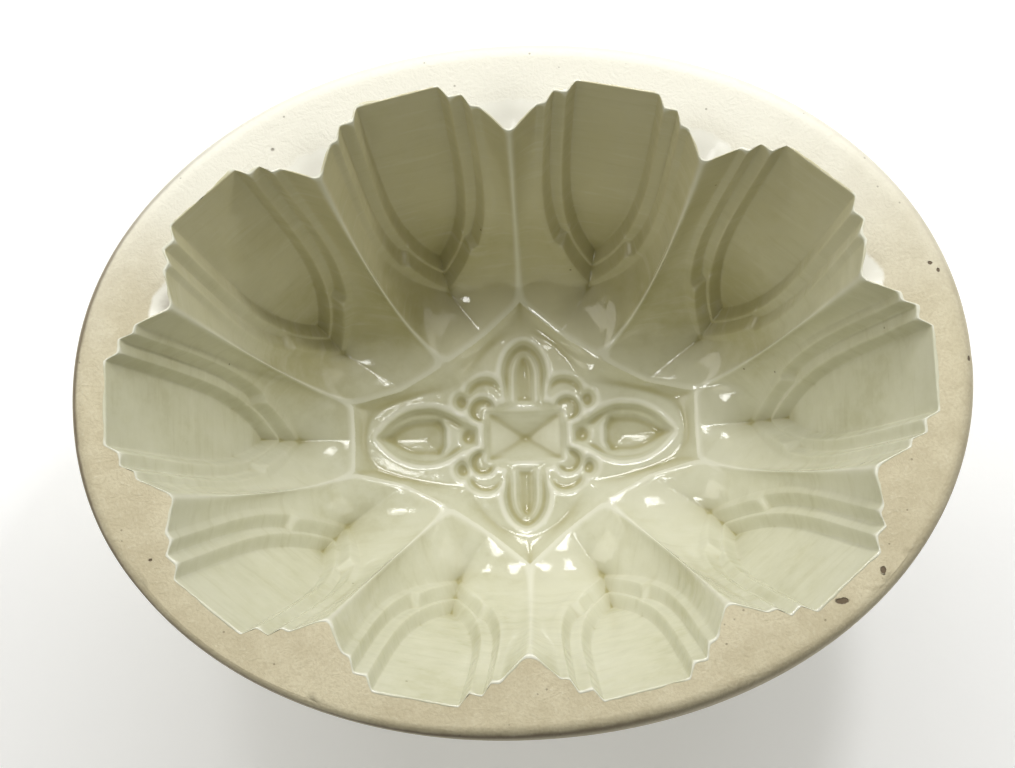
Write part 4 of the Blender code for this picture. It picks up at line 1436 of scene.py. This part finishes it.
def join_back(front, front_loop, back, back_loop, matches):
    """Join the back of a coat to its front along the border, so that it closes."""
    copies = {vert: front.verts.new(vert.co) for vert in back.verts}
    for face in back.faces:
        front.faces.new([copies[vert] for vert in face.verts])
    count = len(front_loop)
    for here, start in enumerate(matches):
        after = (here + 1) % len(matches)
        step = (matches[after] - start) % count
        path = [front_loop[(start + move) % count] for move in range(step + 1)]
        front.faces.new(path + [copies[back_loop[after]], copies[back_loop[here]]])
    back.free()
    bmesh.ops.recalc_face_normals(front, faces=front.faces)


def lay_coat(rows, closed, ripple, name, node, material, sizes):
    """Lay rows of inset, height and shrink round the oval as a coat that stands for its CAD node."""
    bm = bmesh.new()
    bm.from_mesh(run_oval(oval_grid(rows, name, closed, ripple), sizes, material))
    bmesh.ops.recalc_face_normals(bm, faces=bm.faces)
    thing = piece_from(bm, name, material)
    thing.data.set_sharp_from_angle(angle=math.radians(COAT_SHARP))
    hand_over(thing, node)


class JELLYMOULD_OT_wall_glaze(bpy.types.Operator):
    """Coat on the outer wall, from a wandering line under the lip to just above the dry foot"""
    bl_idname = "jelly_mould.wall_glaze"
    bl_label = "Wall Glaze"

    def execute(self, context):
        sizes = context.scene.mould_sizes
        outside, inside = wall_profile(sizes, 0.0), wall_profile(sizes, GLAZE)
        line, foot = outside[0].y, outside[-1]
        rows = [(GLAZE * share, line + lift) for share, lift in COAT_TOP_EDGE]
        rows += [(place.x, place.y) for place in outside[:-1]]
        rows += [(foot.x + inwards, foot.y + lift) for inwards, lift in COAT_FOOT_EDGE]
        rows += [(place.x, place.y + COAT_BACK_LIFT) for place in reversed(inside)]
        fall = len(outside) + 2

        def ripple(row, turn):
            rise = 0.0
            for near, (size, scale, shift, lean) in ((row < 3 or row >= len(rows) - 2, COAT_TOP_WANDER),
                                                     (fall - 2 <= row <= fall + 2, COAT_FOOT_WANDER)):
                rise += size * (circle_noise(turn, scale, shift) + lean) if near else 0.0
            return rise, 0.0

        lay_coat([(*row, 1.0) for row in rows], True, ripple, "wall_coat", "outer_glaze",
                 wall_glaze_material(context.scene.mould_finish), sizes)
        return {"FINISHED"}


class JELLYMOULD_OT_base_glaze(bpy.types.Operator):
    """Coat on the sunk underside, drawn up at its edge against the foot ring"""
    bl_idname = "jelly_mould.base_glaze"
    bl_label = "Base Glaze"

    def execute(self, context):
        edge = TAPER_RUN + SHOULDER_RUN + GLAZE + GAP + FOOT_WIDTH + RECESS_DRAFT + GAP
        top, low = RECESS_DEPTH - GAP, RECESS_DEPTH - GAP - GLAZE
        rows = [(edge, top, share) for share in BASE_BACK_SHRINKS]
        rows += [(edge, top, 1.0), (edge, top - GLAZE * BASE_EDGE_DROP, 1.0)]
        rows.append((edge + GLAZE * BASE_EDGE_RUN, low, 1.0))
        rows += [(edge + inwards, low + lift, 1.0) for inwards, lift in BASE_MEETS_WALL]
        face = len(rows) - 1
        rows += [(edge + BASE_MEETS_WALL[-1][0], low, share) for share in BASE_FACE_SHRINKS]

        def ripple(row, turn):
            if face <= row < len(rows) - 2:
                return BASE_RIPPLE * circle_noise(turn, BASE_RIPPLE_SCALE, BASE_RIPPLE_SHIFT * row), 0.0
            return 0.0, 0.0

        lay_coat(rows, False, ripple, "base_coat", "base_glaze",
                 base_glaze_material(context.scene.mould_finish), context.scene.mould_sizes)
        return {"FINISHED"}


# Finishes

class Finish:
    """Builds one procedural material on a Principled shader."""

    def __init__(self, name):
        self.material = bpy.data.materials.new(name)
        self.material.use_nodes = True
        self.tree = self.material.node_tree
        self.shader = self.tree.nodes["Principled BSDF"]
        self.coords = self.tree.nodes.new("ShaderNodeTexCoord").outputs["Object"]

    def put(self, value, socket):
        """Link a socket, or set a plain value."""
        if isinstance(value, bpy.types.NodeSocket):
            self.tree.links.new(value, socket)
        else:
            socket.default_value = value

    def noise(self, scale, detail=3.0, roughness=0.5, distortion=0.0, coords=None):
        """Cloudy noise; scale is in features per metre."""
        made = self.tree.nodes.new("ShaderNodeTexNoise")
        self.put(coords or self.coords, made.inputs["Vector"])
        for label, value in (("Scale", scale), ("Detail", detail), ("Roughness", roughness),
                             ("Distortion", distortion)):
            made.inputs[label].default_value = value
        return made.outputs["Fac"]

    def spots(self, scale, size, picked):
        """Spots round some of many scattered points, from a step of their size and one of their choice."""
        made = self.tree.nodes.new("ShaderNodeTexVoronoi")
        self.put(self.coords, made.inputs["Vector"])
        made.inputs["Scale"].default_value = scale
        split = self.tree.nodes.new("ShaderNodeSeparateColor")
        self.put(made.outputs["Color"], split.inputs["Color"])
        near, chosen = self.step(made.outputs["Distance"], *size), self.step(split.outputs["Red"], *picked)
        return self.times(near, chosen)

    def math(self, operation, *values, clamp=False):
        """A Math node on sockets or numbers."""
        made = self.tree.nodes.new("ShaderNodeMath")
        made.operation = operation
        made.use_clamp = clamp
        for socket, value in zip(made.inputs, values):
            self.put(value, socket)
        return made.outputs[0]

    def plus(self, first, second, clamp=False):
        """The sum of two values."""
        return self.math("ADD", first, second, clamp=clamp)

    def less(self, first, second):
        """One value less another."""
        return self.math("SUBTRACT", first, second)

    def times(self, first, second):
        """The product of two values."""
        return self.math("MULTIPLY", first, second)

    def sway(self, value, share):
        """How far a value lies from one half, times a share."""
        return self.times(self.less(value, 0.5), share)

    def step(self, value, low, high, start=0.0, end=1.0):
        """A smooth step from start to end as a value goes from low to high."""
        made = self.tree.nodes.new("ShaderNodeMapRange")
        made.interpolation_type = "SMOOTHSTEP"
        for label, number in (("Value", value), ("From Min", low), ("From Max", high),
                              ("To Min", start), ("To Max", end)):
            self.put(number, made.inputs[label])
        return made.outputs["Result"]

    def mix(self, share, first, second):
        """A colour between two colours."""
        made = self.tree.nodes.new("ShaderNodeMix")
        made.data_type = "RGBA"
        self.put(share, made.inputs[0])
        for socket, value in ((made.inputs[6], first), (made.inputs[7], second)):
            self.put(value if isinstance(value, bpy.types.NodeSocket) else (*value, 1.0), socket)
        return made.outputs[2]

    def washed(self, colour, *washes):
        """A colour under washes, each a value, the span of its step and the wash's colour."""
        for value, span, wash in washes:
            colour = self.mix(self.step(value, *span), colour, wash)
        return colour

    def along(self, axis):
        """One coordinate of the piece's own frame, in metres."""
        split = self.tree.nodes.new("ShaderNodeSeparateXYZ")
        self.put(self.coords, split.inputs["Vector"])
        return split.outputs[axis]

    def scaled(self, x, y, z, away=(0.0, 0.0, 0.0)):
        """Object coordinates moved to a place and then scaled."""
        made = self.tree.nodes.new("ShaderNodeMapping")
        made.vector_type = "POINT"
        made.inputs["Scale"].default_value = (x, y, z)
        made.inputs["Location"].default_value = tuple(-part * scale for part, scale in zip(away, (x, y, z)))
        self.put(self.coords, made.inputs["Vector"])
        return made.outputs["Vector"]

    def length(self, vector):
        """How long a vector is."""
        made = self.tree.nodes.new("ShaderNodeVectorMath")
        made.operation = "LENGTH"
        self.put(vector, made.inputs[0])
        return made.outputs["Value"]

    def stored(self, name):
        """A value kept on the piece's points."""
        made = self.tree.nodes.new("ShaderNodeAttribute")
        made.attribute_name = name
        return made.outputs["Fac"]

    def bump(self, height, distance):
        """A bump of a height over a distance."""
        made = self.tree.nodes.new("ShaderNodeBump")
        made.inputs["Strength"].default_value = 1.0
        made.inputs["Distance"].default_value = distance
        self.put(height, made.inputs["Height"])
        return made.outputs["Normal"]

    def finish(self, colour, roughness, normal, **plain):
        """Set the shader's colour, roughness and normal, and its plain values by label."""
        self.put(colour, self.shader.inputs["Base Color"])
        self.put(roughness, self.shader.inputs["Roughness"])
        self.put(normal, self.shader.inputs["Normal"])
        for label, value in plain.items():
            self.shader.inputs[label.replace("_", " ").title().replace("Ior", "IOR")].default_value = value
        return self.material


def glaze_ground(work, thin, even, pooled):
    """Colour of a glaze that clouds and mottles, its pinholes, and the tone that clouds it."""
    tone = work.plus(work.times(work.noise(*GLAZE_CLOUD), CLOUD_PART),
                     work.times(work.noise(*GLAZE_MOTTLE), MOTTLE_PART))
    ground = work.washed(even, (tone, THIN_CLOUDS, thin), (tone, POOLED_CLOUDS, pooled))
    return ground, work.spots(*PINHOLES), tone


def hollow_glaze_material(finish):
    """Glossy glaze of the hollow: paler over edges and ridges, partly thin glaze and partly painted
    highlight; greener where it pools, with painted shade in creases, broad hollows and on the far side.
    """
    work = Finish("hollow glaze")
    thin, pool = finish.thin_glaze_and_highlight, finish.pooled_glaze_and_shade
    ground, holes, tone = glaze_ground(work, thin, finish.glaze, pool)
    pooled, hollowed, ridge = work.stored("pooled"), work.stored("hollowed"), work.stored("ridge")
    height, side = work.along("Z"), work.along("Y")
    # Painted shade: the far side of the hollow turns darker and more olive along Y
    ground = work.mix(work.times(work.step(side, *FAR_SIDE_SHADE_RUN), FAR_SIDE_SHADE_COVER), ground, finish.far_side_shade_glaze)
    # Painted shade: low on the far side, in the far wall's shadow, the glaze turns to the pooled colour
    sunk = work.times(work.step(height, *LOW_SHADE_TOP), work.step(height, *LOW_SHADE_FOOT))
    sunk = work.times(sunk, work.step(side, *LOW_SHADE_SIDE))
    sunk = work.times(sunk, work.step(tone, *LOW_SHADE_TONE))
    ground = work.mix(work.times(sunk, LOW_SHADE_COVER), ground, pool)
    near = work.plus(pooled, work.times(work.sway(work.noise(*GLAZE_GRAIN), POOL_FRAY), pooled))
    streaks = work.noise(*GLAZE_STREAKS, work.scaled(*STRATA))
    # Pooled glaze and painted shade in broad hollows and creases, thin glaze and painted highlight on sharp
    # edges
    ground = work.washed(ground, (hollowed, BROAD_POOLS_AND_SHADE, pool), (near, CREASE_POOLS_AND_SHADE, pool),
                         (near, EDGE_BREAKS_AND_HIGHLIGHTS, thin), (streaks, PALE_STREAKS, thin),
                         (streaks, DARK_STREAKS, pool))
    # Thin glaze and painted highlight along the ridges
    ground = work.mix(work.times(ridge, RIDGE_THIN_AND_HIGHLIGHT_COVER), ground, thin)
    ground = work.mix(work.times(holes, HOLLOW_HOLES), ground, finish.iron)
    relief = work.plus(work.noise(*GLAZE_WAVE), work.times(work.noise(*GLAZE_FINE), FINE_RELIEF))
    normal = work.bump(work.less(relief, work.times(holes, HOLE_RELIEF)), GLAZE_BUMP)
    rough = work.step(tone, *TONE_SPAN, *(finish.glaze_roughness * share for share in GLOSS_SPREAD))
    return work.finish(ground, rough, normal, **HOLLOW_SHADER)


def wall_glaze_material(finish):
    """Thinner cream glaze of the outer wall, with the clay's grain showing through."""
    work = Finish("wall glaze")
    ground, holes, tone = glaze_ground(work, finish.thin_glaze_and_highlight, finish.outside_glaze, finish.glaze)
    grain = work.noise(*WALL_GRAIN)
    ground = work.washed(ground, (grain, CLAY_SHOWN, finish.clay))
    ground = work.mix(work.times(holes, WALL_HOLES), ground, finish.iron)
    normal = work.bump(work.plus(work.noise(*WALL_WAVE), work.times(grain, WALL_RELIEF)), GLAZE_BUMP)
    return work.finish(ground, work.step(tone, *TONE_SPAN, *WALL_ROUGHNESS), normal, **WALL_SHADER)


def base_glaze_material(finish):
    """Glaze of the underside, thicker in places, with kiln specks."""
    work = Finish("base glaze")
    ground, holes, tone = glaze_ground(work, finish.outside_glaze, finish.glaze, finish.pooled_glaze_and_shade)
    pool = work.noise(*BASE_POOL)
    ground = work.washed(ground, (pool, BASE_POOLED, finish.pooled_glaze_and_shade))
    ground = work.mix(work.times(work.spots(*KILN_SPECKS), BASE_SPECKS), ground, finish.iron)
    normal = work.bump(work.less(pool, work.times(holes, BASE_HOLE_RELIEF)), BASE_BUMP)
    return work.finish(ground, work.step(tone, *TONE_SPAN, *BASE_ROUGHNESS), normal, **BASE_SHADER)


def shadow_on_lip(work, mottle):
    """How dark the painted shadow along one side of the lip's edge is."""
    turn = math.radians(LIP_SHADOW_EDGE["turn"])
    towards = work.plus(work.times(work.along("X"), math.cos(turn)),
                        work.times(work.along("Y"), math.sin(turn)))
    height = work.plus(work.along("Z"), work.sway(mottle, LIP_SHADOW_FRAY))
    lip_shadow = work.times(work.step(height, LIP_SHADOW_EDGE["high"], LIP_SHADOW_EDGE["low"]),
                       work.step(towards, *LIP_SHADOW_SIDE))
    return work.times(lip_shadow, work.step(height, LIP_SHADOW_EDGE["fade"], LIP_SHADOW_EDGE["low"], *LIP_SHADOW_FADE))


def clay_material(finish):
    """Dry speckled clay with pits and iron specks, a painted shadow along one edge of the lip, painted sheen
    towards the far side, and glaze flooded over worn points, painted near-white in part as a highlight.
    """
    work = Finish("dry clay")
    cloud, mottle = work.noise(*CLAY_CLOUD), work.noise(*CLAY_MOTTLE)
    grain, wiped = work.noise(*CLAY_GRAIN), work.noise(*CLAY_WIPED)
    tone = work.plus(work.times(cloud, CLAY_PART), work.times(mottle, CLAY_PART))
    ground = work.washed(finish.clay, (tone, CLAY_SHADED, finish.clay_shade),
                         (grain, DARK_GRAIN, finish.clay_shade), (grain, PALE_GRAIN, finish.thin_glaze_and_highlight),
                         (wiped, WIPED_DARK, finish.clay_shade))
    specks, pits = work.spots(*IRON_SPECKS), work.spots(*CLAY_PITS)
    for (x, y), (half_x, half_y) in PITS:
        off = work.length(work.scaled(1 / half_x, 1 / half_y, 0.0, (x, y, 0.0)))
        pits = work.math("MAXIMUM", pits, work.step(work.plus(off, work.sway(wiped, PIT_FRAY)), *PIT_EDGE))
    dark = work.plus(work.times(specks, SPECK_COVER), work.times(pits, PIT_COVER), clamp=True)
    flood = work.step(work.plus(work.stored("glazed"), work.sway(mottle, FLOOD_FRAY)), *FLOOD_EDGE)
    # Painted sheen: the rim turns paler towards the far side, nearer the light
    painted_sheen = work.step(work.plus(work.along("Y"), work.sway(cloud, RIM_SHEEN_FRAY)), *RIM_SHEEN_RUN)
    for cover, wash in ((work.times(painted_sheen, RIM_SHEEN_COVER), finish.rim_sheen_and_glaze), (dark, finish.iron),
                        # Worn points flooded with glaze, painted near-white in part as a highlight on their
                        # gloss
                        (work.times(flood, FLOOD_GLAZE_AND_HIGHLIGHT_COVER), finish.rim_sheen_and_glaze),
                        # Painted shadow along one side of the lip's edge
                        (shadow_on_lip(work, mottle), finish.lip_shadow)):
        ground = work.mix(cover, ground, wash)
    relief = work.plus(work.times(grain, GRAIN_RELIEF), work.times(wiped, WIPED_RELIEF))
    marks = work.plus(work.times(specks, SPECK_RELIEF), work.times(pits, PIT_RELIEF))
    relief = work.less(work.less(relief, RELIEF_LEVEL), marks)
    normal = work.bump(work.times(relief, work.step(flood, 0.0, 1.0, 1.0, FLOODED_RELIEF)), CLAY_BUMP)
    rough = work.step(flood, 0.0, 1.0, finish.clay_roughness, finish.glaze_roughness + FLOOD_DULLER)
    return work.finish(ground, rough, normal, **CLAY_SHADER)


# Stage

def area_light(name, at, size, power, tint):
    """A soft rectangular light that faces the middle of the rim's plane."""
    lamp = bpy.data.lights.new(name, "AREA")
    lamp.shape = "RECTANGLE"
    lamp.size, lamp.size_y = size
    lamp.energy = power
    lamp.color = tint
    thing = bpy.data.objects.new(name, lamp)
    thing.location = at
    thing.rotation_euler = (Vector(LIT_MIDDLE) - Vector(at)).to_track_quat("-Z", "Y").to_euler()
    bpy.context.scene.collection.objects.link(thing)
    return thing


def place_camera(stage):
    """The camera, looking down into the hollow."""
    lens = bpy.data.cameras.new("camera")
    lens.sensor_width = SENSOR_WIDTH
    lens.sensor_fit = "HORIZONTAL"
    lens.lens = stage.lens
    lens.clip_start, lens.clip_end = CLIPPING
    camera = bpy.data.objects.new("camera", lens)
    camera.location = stage.camera_at
    look = (Vector(stage.camera_aim) - Vector(stage.camera_at)).to_track_quat("-Z", "Y")
    camera.rotation_mode = "QUATERNION"
    camera.rotation_quaternion = look @ Quaternion((0.0, 0.0, 1.0), stage.camera_roll)
    bpy.context.scene.collection.objects.link(camera)
    bpy.context.scene.camera = camera


def lay_floor(stage):
    """A pale floor that glows a little, just under the foot."""
    work = Finish("pale floor")
    tint = work.mix(work.step(work.noise(*FLOOR_CLOUD), *TONE_SPAN), tuple(stage.floor),
                    tuple(FLOOR_SHADE * part for part in stage.floor))
    work.shader.inputs["Emission Color"].default_value = (*WHITE, 1.0)
    work.shader.inputs["Emission Strength"].default_value = stage.floor_glow
    material = work.finish(tint, FLOOR_ROUGHNESS, work.bump(work.noise(FLOOR_GRAIN), FLOOR_BUMP))
    bm = bmesh.new()
    bmesh.ops.create_grid(bm, x_segments=8, y_segments=8, size=FLOOR_HALF)
    bmesh.ops.translate(bm, verts=bm.verts, vec=(0.0, 0.0, -FLOOR_DROP))
    floor = piece_from(bm, "floor", material)
    floor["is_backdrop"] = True


def place_lights(stage):
    """Lamps that shade, fills that do both, and panes that are seen only in the gloss."""
    lights = [(*light, getattr(stage, power)) for *light, power in LIGHTS]
    lights += [(f"glint_{number}", bearing, rise, GLINT_DISTANCE, size,
                stage.glint_light * math.pi * size[0] * size[1])
               for number, (bearing, rise, size) in enumerate(GLINTS, 1)]
    for name, bearing, rise, distance, size, power in lights:
        plan = polar(90.0 - bearing, math.cos(math.radians(rise)))
        way = Vector((plan[0], plan[1], math.sin(math.radians(rise))))
        fills, glints = name.endswith("fill"), name.startswith("glint")
        lamp = area_light(name, Vector(LIT_MIDDLE) + distance * way, size, power,
                          FILL_TINT if fills else WHITE)
        lamp.visible_glossy = glints or fills
        lamp.visible_diffuse = not glints


class JELLYMOULD_OT_stage(bpy.types.Operator):
    """Pale floor, soft window light from behind, and the camera looking down into the hollow"""
    bl_idname = "jelly_mould.stage"
    bl_label = "Stage"

    def execute(self, context):
        stage = context.scene.mould_stage
        place_camera(stage)
        lay_floor(stage)
        place_lights(stage)
        world = bpy.data.worlds.new("sky")
        world.use_nodes = True
        world.node_tree.nodes["Background"].inputs["Color"].default_value = SKY_TINT
        world.node_tree.nodes["Background"].inputs["Strength"].default_value = stage.sky
        context.scene.world = world
        context.scene.view_settings.view_transform = "Standard"
        return {"FINISHED"}


class VIEW3D_PT_jelly_mould(bpy.types.Panel):
    """Sizes, finishes and pieces of the jelly mould"""
    bl_label = "Jelly Mould"
    bl_space_type = "VIEW_3D"
    bl_region_type = "UI"
    bl_category = "Jelly Mould"

    def draw(self, context):
        for settings in ("mould_sizes", "mould_softness", "mould_finish", "mould_stage"):
            box = self.layout.box()
            group = getattr(context.scene, settings)
            for name in group.__annotations__:
                box.prop(group, name)
        for operator in OPERATORS:
            self.layout.operator(operator.bl_idname)


GROUPS = {"mould_sizes": MouldSizes, "mould_softness": MouldSoftness,
          "mould_finish": MouldFinish, "mould_stage": MouldStage}
OPERATORS = (JELLYMOULD_OT_clay_body, JELLYMOULD_OT_hollow_glaze, JELLYMOULD_OT_wall_glaze,
             JELLYMOULD_OT_base_glaze, JELLYMOULD_OT_stage)


def register():
    """Add the settings, the operators and the panel to Blender."""
    for name, group in GROUPS.items():
        bpy.utils.register_class(group)
        setattr(bpy.types.Scene, name, bpy.props.PointerProperty(type=group))
    for part in (*OPERATORS, VIEW3D_PT_jelly_mould):
        bpy.utils.register_class(part)


def unregister():
    """Take them out again."""
    for part in reversed((*OPERATORS, VIEW3D_PT_jelly_mould)):
        bpy.utils.unregister_class(part)
    for name, group in GROUPS.items():
        delattr(bpy.types.Scene, name)
        bpy.utils.unregister_class(group)


def main():
    """Build every piece and the stage, and measure both boxes."""
    register()
    bpy.ops.jelly_mould.clay_body()
    bpy.ops.jelly_mould.hollow_glaze()
    bpy.ops.jelly_mould.wall_glaze()
    bpy.ops.jelly_mould.base_glaze()
    bpy.ops.jelly_mould.stage()
    low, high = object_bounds()
    boxes = {"cad": [list(CAD_LOW), list(CAD_HIGH)], "visual": [list(low), list(high)]}


if __name__ == "__main__":
    main()
